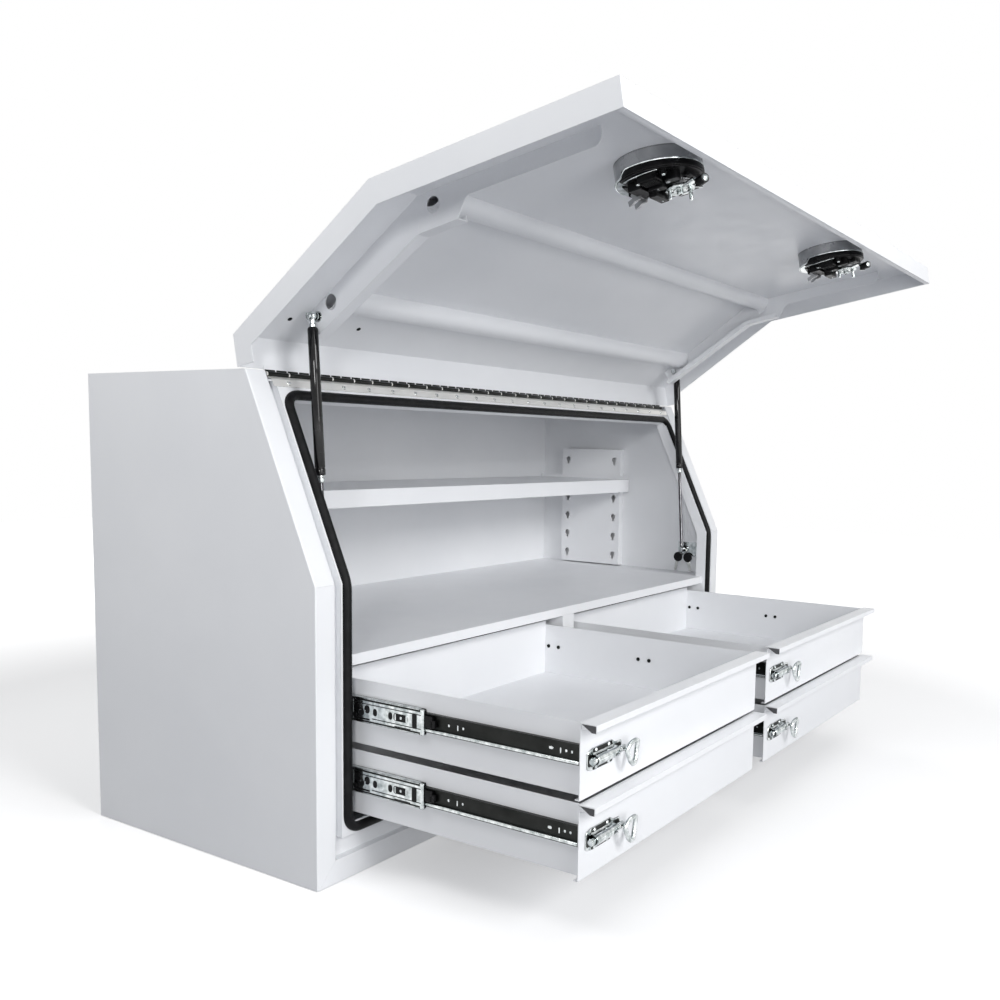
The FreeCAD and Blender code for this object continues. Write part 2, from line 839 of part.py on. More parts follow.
def cabinet_leaf():
    """Leaf on the sloping face of the header, bent back to the barrel."""
    low = (slope_y(leaf_low_height), leaf_low_height)
    high = (slope_y(header_high_height), header_high_height)
    barrel_foot = (hinge_axis_y, hinge_height - barrel_radius)
    leaf = strip([low, high, barrel_foot], -leaf_sheet, 0, -hinge_half, hinge_half)
    out = point(0, -math.sin(slope_angle), math.cos(slope_angle))
    rivets = []
    for x in rivet_xs():
        base = point(x, slope_y(rivet_line_height), rivet_line_height) + out * leaf_sheet
        rivets.append(rod(base, out, rivet_radius, rivet_head_height))
    return leaf_with_knuckles(leaf, knuckles(0), rivets)


def lid_leaf():
    """Leaf under the top of the closed lid, tangent to the barrel."""
    top = hinge_height + barrel_radius
    y0 = hinge_axis_y - lid_leaf_reach
    leaf = block(-hinge_half, hinge_half, y0, hinge_axis_y, top - leaf_sheet, top)
    return leaf_with_knuckles(leaf, knuckles(1), [])


def strut_fixings():
    """Washer and nut that hold the left upper stud to its stiffener, with the lid closed."""
    place = point(-stiffener_face, stud_closed.y, stud_closed.z)
    washer = rod(place, -X_AXIS, strut_washer_radius, strut_washer_sheet)
    inside = point(-stiffener_face + stiffener_sheet, place.y, place.z)
    corners = []
    for index in range(strut_nut_sides):
        turn = 2 * math.pi * index / strut_nut_sides
        corners.append((inside.y + strut_nut_radius * math.cos(turn),
                        inside.z + strut_nut_radius * math.sin(turn)))
    nut = slab_x(corners, inside.x, inside.x + strut_nut_height)
    return [washer, nut]


def dish(x):
    """Round recessed dish with a flange on the outside of the lid."""
    face = lid_front - dish_sheet
    floor = lid_inner_front + dish_depth
    cup = rod(point(x, face, dish_height), Y_AXIS, dish_radius, floor - face)
    hollow = rod(point(x, face, dish_height), Y_AXIS, dish_radius - dish_sheet, floor - face - dish_sheet)
    rim = rod(point(x, face, dish_height), Y_AXIS, dish_radius + dish_flange, dish_sheet)
    spindle = point(x + spindle_offset, face, spindle_height)
    bore = rod(spindle, Y_AXIS, spindle_radius + spindle_clearance, 2 * dish_depth)
    return rim.fuse(cup).cut([hollow, bore]).removeSplitter()


def lock_housing(x):
    """Block behind the dish that carries the spindle."""
    y0 = lid_inner_front + dish_depth
    centre_x = x + spindle_offset
    centre_z = spindle_height
    outline = [
        (centre_x - housing_left + housing_chamfer, centre_z - housing_low + housing_chamfer),
        (centre_x - housing_right, centre_z - housing_low),
        (centre_x + housing_right, centre_z - housing_low),
        (centre_x + housing_right, centre_z + housing_right),
        (centre_x, centre_z + housing_high),
        (centre_x - housing_left + housing_chamfer, centre_z + housing_high),
        (centre_x - housing_left, centre_z + housing_high - housing_chamfer),
        (centre_x - housing_left, centre_z),
    ]
    body = slab_y(outline, y0, y0 + housing_depth)
    start = point(centre_x, y0 - dish_sheet, centre_z)
    return body.cut(rod(start, Y_AXIS, spindle_radius + spindle_clearance, 2 * housing_depth))


def lock_cam(x):
    """Disc, posts, arm and roller on the inner end of the spindle, turned to the rest angle."""
    centre_x = x + spindle_offset
    centre_z = spindle_height
    y0 = lid_inner_front + dish_depth + housing_depth + cam_disc_gap
    y1 = y0 + cam_disc_thickness
    roller_y = front + roller_axis_setback
    arm_x0 = centre_x - cam_arm_width / 2
    arm_x1 = centre_x + cam_arm_width / 2
    tab_end = centre_z - cam_arm_reach
    pieces = [
        rod(point(centre_x, y0, centre_z), Y_AXIS, cam_disc_radius, y1 - y0),
        block(arm_x0, arm_x1, y1 - cam_arm_sheet, y1, tab_end, centre_z),
        block(arm_x0, arm_x1, y1 - cam_arm_sheet, roller_y + roller_radius, tab_end, tab_end + cam_arm_sheet),
        rod(point(centre_x, roller_y, tab_end), -Z_AXIS, roller_pin_radius, roller_start - cam_arm_reach),
        rod(point(centre_x, roller_y, centre_z - roller_start), -Z_AXIS, roller_radius, roller_length),
        rod(point(centre_x, y1, centre_z), Y_AXIS, cam_nose_radius, cam_post_height),
    ]
    for side in (-1, 1):
        post = point(centre_x + side * cam_post_place, y1, centre_z)
        pieces.append(rod(post, Y_AXIS, cam_post_radius, cam_post_height))
    cam = join(pieces)
    cam.rotate(point(centre_x, 0, centre_z), Y_AXIS, cam_rest_angle)
    return cam


def lock_handle(x):
    """Handle in the dish, with hub, key barrel and the spindle that passes through to the cam."""
    centre_x = x + spindle_offset
    centre_z = spindle_height
    y0 = lid_front + handle_recess
    y1 = y0 + handle_bar_thickness
    cam_face = lid_inner_front + dish_depth + housing_depth + cam_disc_gap
    floor = lid_inner_front + dish_depth - dish_sheet
    low = centre_z - handle_bar_height / 2
    bar = block(centre_x - handle_bar_half, centre_x + handle_bar_half, y0, y1, low, low + handle_bar_height)
    ends = []
    for side in (-1, 1):
        start = point(centre_x + side * handle_bar_half, y0, centre_z)
        ends.append(rod(start, Y_AXIS, handle_bar_height / 2, y1 - y0))
    trim = handle_bar_height / 2
    swing_room = rod(point(centre_x, y0, centre_z), Y_AXIS, handle_bar_half + trim / 2, y1 - y0)
    bar = bar.fuse(ends).common(swing_room)
    hub = rod(point(centre_x, y1, centre_z), Y_AXIS, handle_hub_radius, floor - y1 - cam_disc_gap)
    barrel = rod(point(centre_x, y0 - key_barrel_rise, centre_z), Y_AXIS, key_barrel_radius, key_barrel_rise)
    spindle = rod(point(centre_x, y1, centre_z), Y_AXIS, spindle_radius, cam_face - y1)
    handle = join([bar, hub, barrel, spindle])
    handle.rotate(point(centre_x, 0, centre_z), Y_AXIS, cam_rest_angle)
    return handle


def lid():
    save("lid_skin", opened(lid_skin()))
    brace = stiffener()
    save("lid_stiffener_left", opened(brace))
    save("lid_stiffener_right", opened(mirrored(brace)))
    save("lid_rail_front", opened(front_rail()))
    save("lid_rail_rear", opened(rear_rail()))
    save("hinge_leaf_lid", opened(lid_leaf()))
    save("hinge_leaf_cabinet", cabinet_leaf())
    pin_start = point(-hinge_half, hinge_axis_y, hinge_height)
    save("hinge_pin", rod(pin_start, X_AXIS, pin_radius, 2 * hinge_half))
    fixings = strut_fixings()
    save("strut_fixings_lid", opened(group(fixings + [mirrored(piece) for piece in fixings])))
    places = lock_places()
    save("lock_dishes", opened(group([dish(x) for x in places])))
    save("lock_housings", opened(group([lock_housing(x) for x in places])))
    for name, x in zip(("left", "right"), places):
        save("lock_handle_" + name, opened(lock_handle(x)))
        save("lock_cam_" + name, opened(lock_cam(x)))


def leaned(shape):
    """Leans a strut piece, built upright over the lower pivot, to its place with the lid open."""
    turned = shape.copy()
    turned.rotate(point(-strut_x, strut_low_y, strut_low_height), X_AXIS, -strut_lean)
    return turned


def strut_rod():
    """Left strut rod with the eye at its lower end."""
    foot = point(-strut_x, strut_low_y, strut_low_height)
    eye_start = point(-strut_x - strut_eye_width / 2, strut_low_y, strut_low_height)
    eye = rod(eye_start, X_AXIS, strut_eye_radius, strut_eye_width)
    shaft = rod(foot, Z_AXIS, strut_rod_radius, strut_rod_length)
    bore = rod(eye_start, X_AXIS, strut_pin_radius + strut_clearance, strut_eye_width)
    return leaned(join([eye, shaft]).cut(bore))


def strut_tube():
    """Left strut cylinder with its upper socket and side stud."""
    top = strut_low_height + strut_reach
    tube_top = top - strut_tube_margin
    tube_low = tube_top - strut_tube_length
    tube = rod(point(-strut_x, strut_low_y, tube_low), Z_AXIS, strut_tube_radius, strut_tube_length)
    neck = rod(point(-strut_x, strut_low_y, tube_top), Z_AXIS, strut_neck_radius, strut_tube_margin)
    ball = Part.makeSphere(strut_socket_radius, point(-strut_x, strut_low_y, top))
    stud_length = strut_x - stiffener_face - strut_washer_sheet - strut_side_gap
    stud = rod(point(-strut_x, strut_low_y, top), X_AXIS, strut_pin_radius, stud_length)
    bore_length = strut_tube_length - strut_eye_radius
    bore_start = point(-strut_x, strut_low_y, tube_low)
    bore = rod(bore_start, Z_AXIS, strut_rod_radius + strut_clearance, bore_length)
    return leaned(join([tube, neck, ball, stud]).cut(bore))


def strut_bracket():
    """Left lower bracket behind the frame's return, with the pivot pin."""
    z0 = strut_low_height - bracket_drop
    z1 = strut_low_height + bracket_rise
    y0 = max(front, slope_y(z1)) + return_depth
    y1 = strut_low_y + bracket_reach
    plate = block(-open_half - body_sheet, -open_half, y0, y1, z0, z1)
    pin_end = -strut_x + strut_eye_width / 2 + strut_side_gap
    start = point(-open_half, strut_low_y, strut_low_height)
    pin = rod(start, X_AXIS, strut_pin_radius, pin_end + open_half)
    head = rod(point(pin_end, strut_low_y, strut_low_height), X_AXIS, strut_head_radius, strut_head_height)
    return join([plate, pin, head])


def one_key(centre, angle, x0):
    """A flat key that hangs from a ring point, turned about X by an angle."""
    head_z = centre.z - key_head_radius + key_hole_margin
    head = rod(point(x0, centre.y, head_z), X_AXIS, key_head_radius, key_head_thickness)
    blade_x = x0 + (key_head_thickness - key_blade_thickness) / 2
    blade_low = head_z - key_head_radius - key_blade_length
    blade = block(blade_x, blade_x + key_blade_thickness, centre.y - key_blade_width / 2,
                  centre.y + key_blade_width / 2, blade_low, head_z)
    hole = rod(point(x0, centre.y, centre.z), X_AXIS, key_hole_radius, key_head_thickness)
    key = join([head, blade]).cut(hole)
    key.rotate(centre, X_AXIS, angle)
    return key


def keys():
    """Key ring on the right strut pin with two splayed keys."""
    room_start = strut_x + strut_eye_width / 2
    middle_x = (room_start + open_half) / 2
    ring_z = strut_low_height - key_ring_radius + strut_pin_radius + key_ring_wire + key_layer_gap
    centre = point(middle_x, strut_low_y, ring_z)
    ring = Part.makeTorus(key_ring_radius, key_ring_wire, centre, X_AXIS)
    hang = point(middle_x, strut_low_y, ring_z - key_ring_radius)
    left_x = middle_x - key_head_thickness - key_layer_gap / 2
    right_x = middle_x + key_layer_gap / 2
    first = one_key(hang, key_splay_angle, left_x)
    second = one_key(hang, -key_splay_angle, right_x)
    return group([ring, first, second])


def struts():
    shaft = strut_rod()
    tube = strut_tube()
    bracket = strut_bracket()
    save("strut_rod_left", shaft)
    save("strut_rod_right", mirrored(shaft))
    save("strut_cylinder_left", tube)
    save("strut_cylinder_right", mirrored(tube))
    save("strut_brackets", group([bracket, mirrored(bracket)]))
    save("keys", keys())


# Drawer pieces are built closed, in the lower left bay, then moved to their bay and pulled out
bay_left = -open_half
bay_right = bay_left + bay_width
bay_middle = (bay_left + bay_right) / 2
slide_z = drawer_low_height + drawer_front_height - slide_axis_drop


def both_sides(shape):
    return group([shape, shape.mirror(point(bay_middle, 0, 0), X_AXIS)])


def channel(x_web, sheet, reach, height, y0, y1):
    """A slide member: web at x_web and two flanges that reach towards +X or, if negative, -X."""
    side = math.copysign(1, reach)
    web = block(min(x_web, x_web + side * sheet), max(x_web, x_web + side * sheet), y0, y1,
                slide_z - height / 2, slide_z + height / 2)
    x0 = min(x_web, x_web + reach)
    x1 = max(x_web, x_web + reach)
    top = slide_z + height / 2
    low = slide_z - height / 2
    return join([web, block(x0, x1, y0, y1, top - sheet, top), block(x0, x1, y0, y1, low, low + sheet)])


def fixed_rail():
    y0 = drawer_face + slide_start_gap
    y1 = y0 + slide_length
    return both_sides(channel(bay_left, slide_fixed_sheet, slide_fixed_reach, slide_fixed_height, y0, y1))


def middle_rail():
    """Middle slide member with its ball cage strips and end stop."""
    x_web = bay_left + slide_fixed_sheet + slide_middle_gap
    y0 = drawer_face + slide_start_gap + slide_middle_setback
    y1 = drawer_face + slide_start_gap + slide_length
    rail = channel(x_web, slide_middle_sheet, slide_middle_reach, slide_middle_height, y0, y1)
    inside = slide_middle_height / 2 - slide_middle_sheet
    cage_low = slide_inner_height / 2 + slide_cage_gap
    cage_x0 = bay_left + slide_thickness - slide_inner_reach
    cage_x1 = x_web + slide_middle_reach
    cages = []
    for side in (-1, 1):
        z0 = min(slide_z + side * cage_low, slide_z + side * inside)
        z1 = max(slide_z + side * cage_low, slide_z + side * inside)
        cages.append(block(cage_x0, cage_x1, y0, y0 + slide_cage_length, z0, z1))
    stop_x1 = cage_x0 - slide_cage_gap
    stop = block(x_web, stop_x1, y0, y0 + slide_stop_length, slide_z - inside, slide_z + inside)
    return both_sides(join([rail, stop] + cages))


def inner_rail():
    """Inner slide member on the side of the drawer, with the rivets inside the tray."""
    x_web = bay_left + slide_thickness
    y0 = drawer_face + slide_start_gap
    y1 = y0 + slide_length
    rail = channel(x_web, slide_inner_sheet, -slide_inner_reach, slide_inner_height, y0, y1)
    pieces = [rail]
    for place in (slide_rivet_first, slide_rivet_second):
        for step in (0, slide_rivet_pair):
            start = point(x_web + drawer_sheet, drawer_face + place + step, slide_z)
            pieces.append(rod(start, X_AXIS, slide_rivet_radius, slide_rivet_height))
    return both_sides(group(pieces))


def tray():
    x0 = bay_left + slide_thickness
    x1 = x0 + tray_width
    y0 = drawer_face + drawer_sheet
    y1 = tray_back
    z0 = drawer_low_height + tray_floor_rise
    z1 = drawer_low_height + drawer_front_height - drawer_sheet
    sheet = drawer_sheet
    pieces = [
        block(x0, x1, y0, y1, z0, z0 + sheet),
        block(x0, x0 + sheet, y0, y1, z0, z1),
        block(x1 - sheet, x1, y0, y1, z0, z1),
        block(x0, x1, y1 - sheet, y1, z0, z1 + tray_back_rise),
    ]
    return join(pieces)


def lip_plan(inset, z0, z1):
    """Rounded plan of the finger lip, from the drawer's face forwards."""
    x0 = bay_left + drawer_side_gap + inset
    x1 = bay_right - drawer_side_gap - inset
    y0 = drawer_face - finger_lip_depth + inset
    y1 = drawer_face
    radius = finger_lip_radius - inset
    diagonal = radius * (1 - 1 / math.sqrt(2))
    left_middle = point(x0 + diagonal, y0 + diagonal, z0)
    right_middle = point(x1 - diagonal, y0 + diagonal, z0)
    left = Part.Arc(point(x0, y0 + radius, z0), left_middle, point(x0 + radius, y0, z0))
    right = Part.Arc(point(x1 - radius, y0, z0), right_middle, point(x1, y0 + radius, z0))
    edges = [
        Part.makeLine(point(x0, y1, z0), point(x0, y0 + radius, z0)),
        left.toShape(),
        Part.makeLine(point(x0 + radius, y0, z0), point(x1 - radius, y0, z0)),
        right.toShape(),
        Part.makeLine(point(x1, y0 + radius, z0), point(x1, y1, z0)),
        Part.makeLine(point(x1, y1, z0), point(x0, y1, z0)),
    ]
    return Part.Face(Part.Wire(edges)).extrude(point(0, 0, z1 - z0))


def drawer_front():
    """Front sheet with the folded finger lip along its top and a hem along its bottom."""
    x0 = bay_left + drawer_side_gap
    x1 = bay_right - drawer_side_gap
    z0 = drawer_low_height
    z1 = z0 + drawer_front_height
    sheet = drawer_sheet
    face = block(x0, x1, drawer_face, drawer_face + sheet, z0, z1)
    hem = block(x0, x1, drawer_face, drawer_face + front_hem, z0, z0 + sheet)
    lip = lip_plan(0, z1 - finger_lip_drop, z1).cut(lip_plan(sheet, z1 - finger_lip_drop, z1 - sheet))
    lower_back = block(x0, x1, drawer_face - sheet, drawer_face, z1 - finger_lip_drop, z1 - sheet)
    lip = lip.cut(lower_back)
    return join([face, hem, lip])


def latch_plate():
    """Round-cornered plate with two guides for the bolt."""
    x0 = bay_left + drawer_side_gap + latch_side_margin
    x1 = x0 + latch_plate_length
    z = drawer_low_height + latch_axis_rise
    half = latch_plate_height / 2
    y1 = drawer_face
    y0 = y1 - latch_plate_sheet
    plate = block(x0, x1, y0, y1, z - half, z + half)
    corners = [edge for edge in plate.Edges if abs(edge.Vertexes[0].X - edge.Vertexes[1].X) < pin_clearance
               and abs(edge.Vertexes[0].Z - edge.Vertexes[1].Z) < pin_clearance]
    plate = plate.makeFillet(latch_plate_radius, corners)
    axis_y = drawer_face - latch_axis_face
    guide_half = bolt_radius + guide_wall
    pieces = [plate]
    for start, length in ((guide_first, guide_first_length), (guide_second, guide_second_length)):
        lug = block(x0 + start, x0 + start + length, axis_y, y0, z - guide_half, z + guide_half)
        barrel = rod(point(x0 + start, axis_y, z), X_AXIS, guide_half, length)
        pieces.append(lug)
        pieces.append(barrel)
    bore_length = latch_plate_length + 2 * overrun
    bore = rod(point(x0 - overrun, axis_y, z), X_AXIS, bolt_radius + bolt_clearance, bore_length)
    return join(pieces).cut(bore)


def latch_bolt():
    """Round bolt with the ring that pulls it."""
    x0 = bay_left + drawer_side_gap + latch_side_margin + bolt_tip_margin
    z = drawer_low_height + latch_axis_rise
    axis_y = drawer_face - latch_axis_face
    shaft = rod(point(x0, axis_y, z), X_AXIS, bolt_radius, bolt_length)
    ring_x = x0 + bolt_length + latch_ring_wire
    ring_middle = point(ring_x, axis_y, z - latch_ring_drop)
    ring = Part.makeTorus(latch_ring_radius, latch_ring_wire, ring_middle, Y_AXIS)
    return join([shaft, ring])


def place_in_bay(shape, column, tier, pull):
    moved = shape.copy()
    moved.translate(point(column * column_pitch, -pull, tier * drawer_pitch))
    return moved


def drawers():
    rails = []
    for tier, tier_name in enumerate(("lower", "upper")):
        for column, side_name in enumerate(("left", "right")):
            name = "_" + tier_name + "_" + side_name
            for label, shape in (("drawer_tray", tray()), ("drawer_front", drawer_front()),
                                 ("slide_inner", inner_rail()), ("latch_plate", latch_plate()),
                                 ("latch_bolt", latch_bolt())):
                save(label + name, place_in_bay(shape, column, tier, drawer_travel))
            save("slide_middle" + name, place_in_bay(middle_rail(), column, tier, drawer_travel / 2))
            rails.append(place_in_bay(fixed_rail(), column, tier, 0))
    save("slide_rails_fixed", group(rails))


def main():
    os.makedirs("parts", exist_ok=True)
    cabinet()
    interior()
    lid()
    struts()
    drawers()


main()
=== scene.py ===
import json
import logging
import math
from collections.abc import Callable
from dataclasses import dataclass, field
from enum import Enum

import bmesh
import bpy
import numpy as np
from mathutils import Matrix, Vector


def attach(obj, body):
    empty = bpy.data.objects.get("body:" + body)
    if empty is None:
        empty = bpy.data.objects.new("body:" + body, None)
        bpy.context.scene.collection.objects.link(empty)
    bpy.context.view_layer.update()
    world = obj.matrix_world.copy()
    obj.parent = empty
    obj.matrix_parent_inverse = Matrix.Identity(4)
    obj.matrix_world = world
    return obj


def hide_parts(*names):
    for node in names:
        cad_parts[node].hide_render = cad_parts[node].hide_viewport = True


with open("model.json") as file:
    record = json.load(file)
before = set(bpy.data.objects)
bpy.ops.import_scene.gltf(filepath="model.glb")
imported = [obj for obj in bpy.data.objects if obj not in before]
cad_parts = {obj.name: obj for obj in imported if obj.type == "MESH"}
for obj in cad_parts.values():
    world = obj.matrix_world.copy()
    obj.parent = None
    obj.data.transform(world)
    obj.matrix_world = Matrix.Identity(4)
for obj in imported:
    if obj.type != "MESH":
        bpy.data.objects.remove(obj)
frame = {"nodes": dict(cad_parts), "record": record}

log = logging.getLogger("tool_box")
Array = np.ndarray
Place = tuple[float, float, float]
Colour = tuple[float, float, float]
Socket = bpy.types.NodeSocket
MM = 0.001
TURN = 2.0 * math.pi

# The cabinet in millimetres: planes, the knee of its front, the hinge and the pitch of its drawers
FRONT, KNEE, BODY_HEIGHT, SLOPE_RUN = -300.0, 503.0, 850.0, 160.0
SLOPE = math.atan2(BODY_HEIGHT - KNEE, SLOPE_RUN)
HINGE_Y, HINGE_Z, OPEN_ANGLE = -132.0, 845.0, math.radians(-100.0)
LID_SKIN_Y = -348.0
COLUMN_PITCH, TIER_PITCH = 692.0, 121.5

# How close points melt into one, in metres, and how sharp an edge has to be to stay sharp
MERGE_DISTANCE = 0.00001
SHARP_ANGLE = math.radians(38.0)

# Directions of the outlines of flat pieces: on a web that faces -X, on the front, and on the lid
FORWARD, RIGHTWARD, UP, DOWN = (0, -1, 0), (1, 0, 0), (0, 0, 1), (0, 0, -1)


class Side(Enum):
    """Left or right, as the sign of X."""

    LEFT = -1.0
    RIGHT = 1.0

    @property
    def word(self) -> str:
        """The word that the nodes' names carry."""
        return self.name.lower()

    @property
    def column(self) -> float:
        """How far this drawer column stands right of the left one."""
        return 0.0 if self is Side.LEFT else COLUMN_PITCH


class Tier(Enum):
    """Lower or upper row of drawers, as its height over the lower row."""

    LOWER = 0.0
    UPPER = TIER_PITCH

    @property
    def word(self) -> str:
        """The word that the nodes' names carry."""
        return self.name.lower()


class Shader:
    """One material's node tree, grown from a Principled shader."""

    def __init__(self, name: str, metallic: float, specular: float = 0.5) -> None:
        """Starts a material with its constant values on the shader's own sockets.

        Args:
            name: the material's name.
            metallic: 1 for bare metal, 0 for anything coated.
            specular: how strongly a coated surface mirrors.
        """
        self.material = bpy.data.materials.new(name)
        self.material.use_nodes = True
        self.tree = self.material.node_tree
        self.surface = self.tree.nodes["Principled BSDF"]
        self.surface.inputs["Metallic"].default_value = metallic
        self.surface.inputs["Specular IOR Level"].default_value = specular
        self.place = self.tree.nodes.new("ShaderNodeTexCoord").outputs["Object"]

    def node(self, kind: str, **values: object) -> bpy.types.Node:
        """Adds a node and sets or links its inputs.

        Args:
            kind: the node's type name.
            **values: input names, with _ for a space, or n and the input's number, and for each a value or
                an output to link.

        Returns:
            The new node.
        """
        made = self.tree.nodes.new(kind)
        for key, value in values.items():
            by_number = key[0] == "n" and key[1:].isdigit()
            socket = made.inputs[int(key[1:]) if by_number else key.replace("_", " ")]
            if isinstance(value, Socket):
                self.tree.links.new(value, socket)
            else:
                socket.default_value = value
        return made

    def stretched(self, scale: tuple[float, float, float]) -> Socket:
        """Object coordinates scaled along each axis."""
        return self.node("ShaderNodeMapping", Vector=self.place, Scale=scale).outputs["Vector"]

    def noise(self, scale: float, detail: float = 3.0, place: Socket | None = None) -> Socket:
        """Grey noise from 0 to 1 with cells of 1/scale metres."""
        source = place or self.place
        return self.node("ShaderNodeTexNoise", Vector=source, Scale=scale, Detail=detail).outputs["Fac"]

    def ramp(self, value: Socket, low: float, high: float, start: float, end: float) -> Socket:
        """Carries a value from one span to another, clamped.

        Args:
            value: the value.
            low: where its span starts.
            high: where its span ends.
            start: what low becomes.
            end: what high becomes.

        Returns:
            The carried value.
        """
        made = self.node("ShaderNodeMapRange", Value=value)
        made.inputs["From Min"].default_value = low
        made.inputs["From Max"].default_value = high
        made.inputs["To Min"].default_value = start
        made.inputs["To Max"].default_value = end
        return made.outputs["Result"]

    def blend(self, share: Socket, first: Colour | Socket, second: Colour | Socket) -> Socket:
        """Blends two colours by a share.

        Args:
            share: 0 gives the first colour and 1 the second.
            first: a colour or an output to link.
            second: the same for the other end.

        Returns:
            The blended colour.
        """
        made = self.tree.nodes.new("ShaderNodeMix")
        made.data_type = "RGBA"
        self.tree.links.new(share, made.inputs["Factor"])
        for socket, colour in ((made.inputs[6], first), (made.inputs[7], second)):
            if isinstance(colour, Socket):
                self.tree.links.new(colour, socket)
            else:
                socket.default_value = (*colour, 1.0)
        return made.outputs[2]

    def colour(self, value: Socket) -> None:
        """Links the base colour."""
        self.tree.links.new(value, self.surface.inputs["Base Color"])

    def roughness(self, value: Socket) -> None:
        """Links the roughness."""
        self.tree.links.new(value, self.surface.inputs["Roughness"])

    def bump(self, height: Socket, depth: float, edge: float = 0.0) -> None:
        """Bumps the surface and, with an edge radius, softens its sharp edges.

        Args:
            height: a value from 0 to 1.
            depth: the bump's height in metres.
            edge: the radius in metres that sharp edges seem to have.
        """
        bump = self.node("ShaderNodeBump", Height=height, Strength=1.0, Distance=depth)
        if edge > 0.0:
            soft = self.node("ShaderNodeBevel", Radius=edge)
            soft.samples = 4
            self.tree.links.new(soft.outputs["Normal"], bump.inputs["Normal"])
        self.tree.links.new(bump.outputs["Normal"], self.surface.inputs["Normal"])


@dataclass(frozen=True)
class PowderCoat:
    """Satin white powder coat: fine orange peel, faint tone changes and softened folds."""

    name: str = "white_coat"
    tone: Colour = (0.86, 0.87, 0.89)
    shade: Colour = (0.82, 0.832, 0.856)
    peel: float = 700.0
    peel_depth: float = 0.00012
    edge: float = 0.0012
    gloss: tuple[float, float] = (0.30, 0.42)

    def make(self) -> bpy.types.Material:
        """Builds the material."""
        shader = Shader(self.name, 0.0, 0.45)
        cloud = shader.noise(3.5, 4.0)
        speck = shader.noise(1400.0, 1.0)
        broad = shader.blend(shader.ramp(cloud, 0.35, 0.7, 0.0, 1.0), self.tone, self.shade)
        shader.colour(shader.blend(shader.ramp(speck, 0.62, 0.8, 0.0, 0.35), broad, self.shade))
        shader.roughness(shader.ramp(shader.noise(18.0), 0.3, 0.7, *self.gloss))
        shader.bump(shader.noise(self.peel, 2.0), self.peel_depth, self.edge)
        return shader.material


@dataclass(frozen=True)
class Rubber:
    """Black sponge rubber with a dull dusty skin."""

    name: str = "seal_rubber"
    tone: Colour = (0.004, 0.004, 0.0045)
    dust: Colour = (0.01, 0.01, 0.011)

    def make(self) -> bpy.types.Material:
        """Builds the material."""
        shader = Shader(self.name, 0.0, 0.12)
        shader.colour(shader.blend(shader.ramp(shader.noise(60.0, 5.0), 0.4, 0.75, 0.0, 1.0), self.tone,
                                   self.dust))
        shader.roughness(shader.ramp(shader.noise(240.0), 0.3, 0.7, 0.34, 0.5))
        shader.bump(shader.noise(1600.0, 2.0), 0.0002, 0.0006)
        return shader.material


@dataclass(frozen=True)
class Steel:
    """Bare or plated metal: brushed along one axis, cloudy plating, scratches, and painted shade in its
    corners.
    """

    name: str
    tone: Colour
    shade: Colour
    gloss: tuple[float, float]
    grain: tuple[float, float, float] = (40.0, 900.0, 900.0)
    grain_depth: float = 0.00006
    cloud: float = 45.0
    edge: float = 0.0005
    metallic: float = 1.0
    # Painted shade: the dark colour laid into corners and between parts, and how far the occlusion that lays
    # it looks.
    corner_shade: Colour = (0.06, 0.065, 0.065)
    corner_shade_reach: float = 0.004

    def make(self) -> bpy.types.Material:
        """Builds the material."""
        shader = Shader(self.name, self.metallic)
        grain = shader.noise(1.0, 3.0, shader.stretched(self.grain))
        cloud = shader.ramp(shader.noise(self.cloud, 4.0), 0.35, 0.7, 0.0, 1.0)
        plated = shader.blend(cloud, self.tone, self.shade)
        worn = shader.blend(shader.ramp(grain, 0.6, 0.85, 0.0, 0.5), plated, self.shade)
        # Painted shade: ambient occlusion darkens the colour in corners and between parts.
        corner = shader.node("ShaderNodeAmbientOcclusion", Distance=self.corner_shade_reach)
        corner.samples = 6
        shader.colour(shader.blend(shader.ramp(corner.outputs["AO"], 0.25, 0.85, 0.0, 1.0), self.corner_shade, worn))
        mix = shader.node("ShaderNodeMath", n0=grain, n1=cloud)
        mix.operation = "MULTIPLY"
        shader.roughness(shader.ramp(mix.outputs[0], 0.0, 0.6, *self.gloss))
        shader.bump(grain, self.grain_depth, self.edge)
        return shader.material


@dataclass(frozen=True)
class Gloss:
    """Moulded plastic or gloss paint in a dark tone, with a fine texture and rub marks."""

    name: str
    tone: Colour
    rubbed: Colour
    gloss: tuple[float, float]
    texture: float = 900.0
    depth: float = 0.0001
    edge: float = 0.0008
    specular: float = 0.14

    def make(self) -> bpy.types.Material:
        """Builds the material."""
        shader = Shader(self.name, 0.0, self.specular)
        shader.colour(shader.blend(shader.ramp(shader.noise(90.0, 5.0), 0.5, 0.8, 0.0, 1.0), self.tone,
                                   self.rubbed))
        shader.roughness(shader.ramp(shader.noise(35.0, 4.0), 0.3, 0.7, *self.gloss))
        shader.bump(shader.noise(self.texture, 2.0), self.depth, self.edge)
        return shader.material


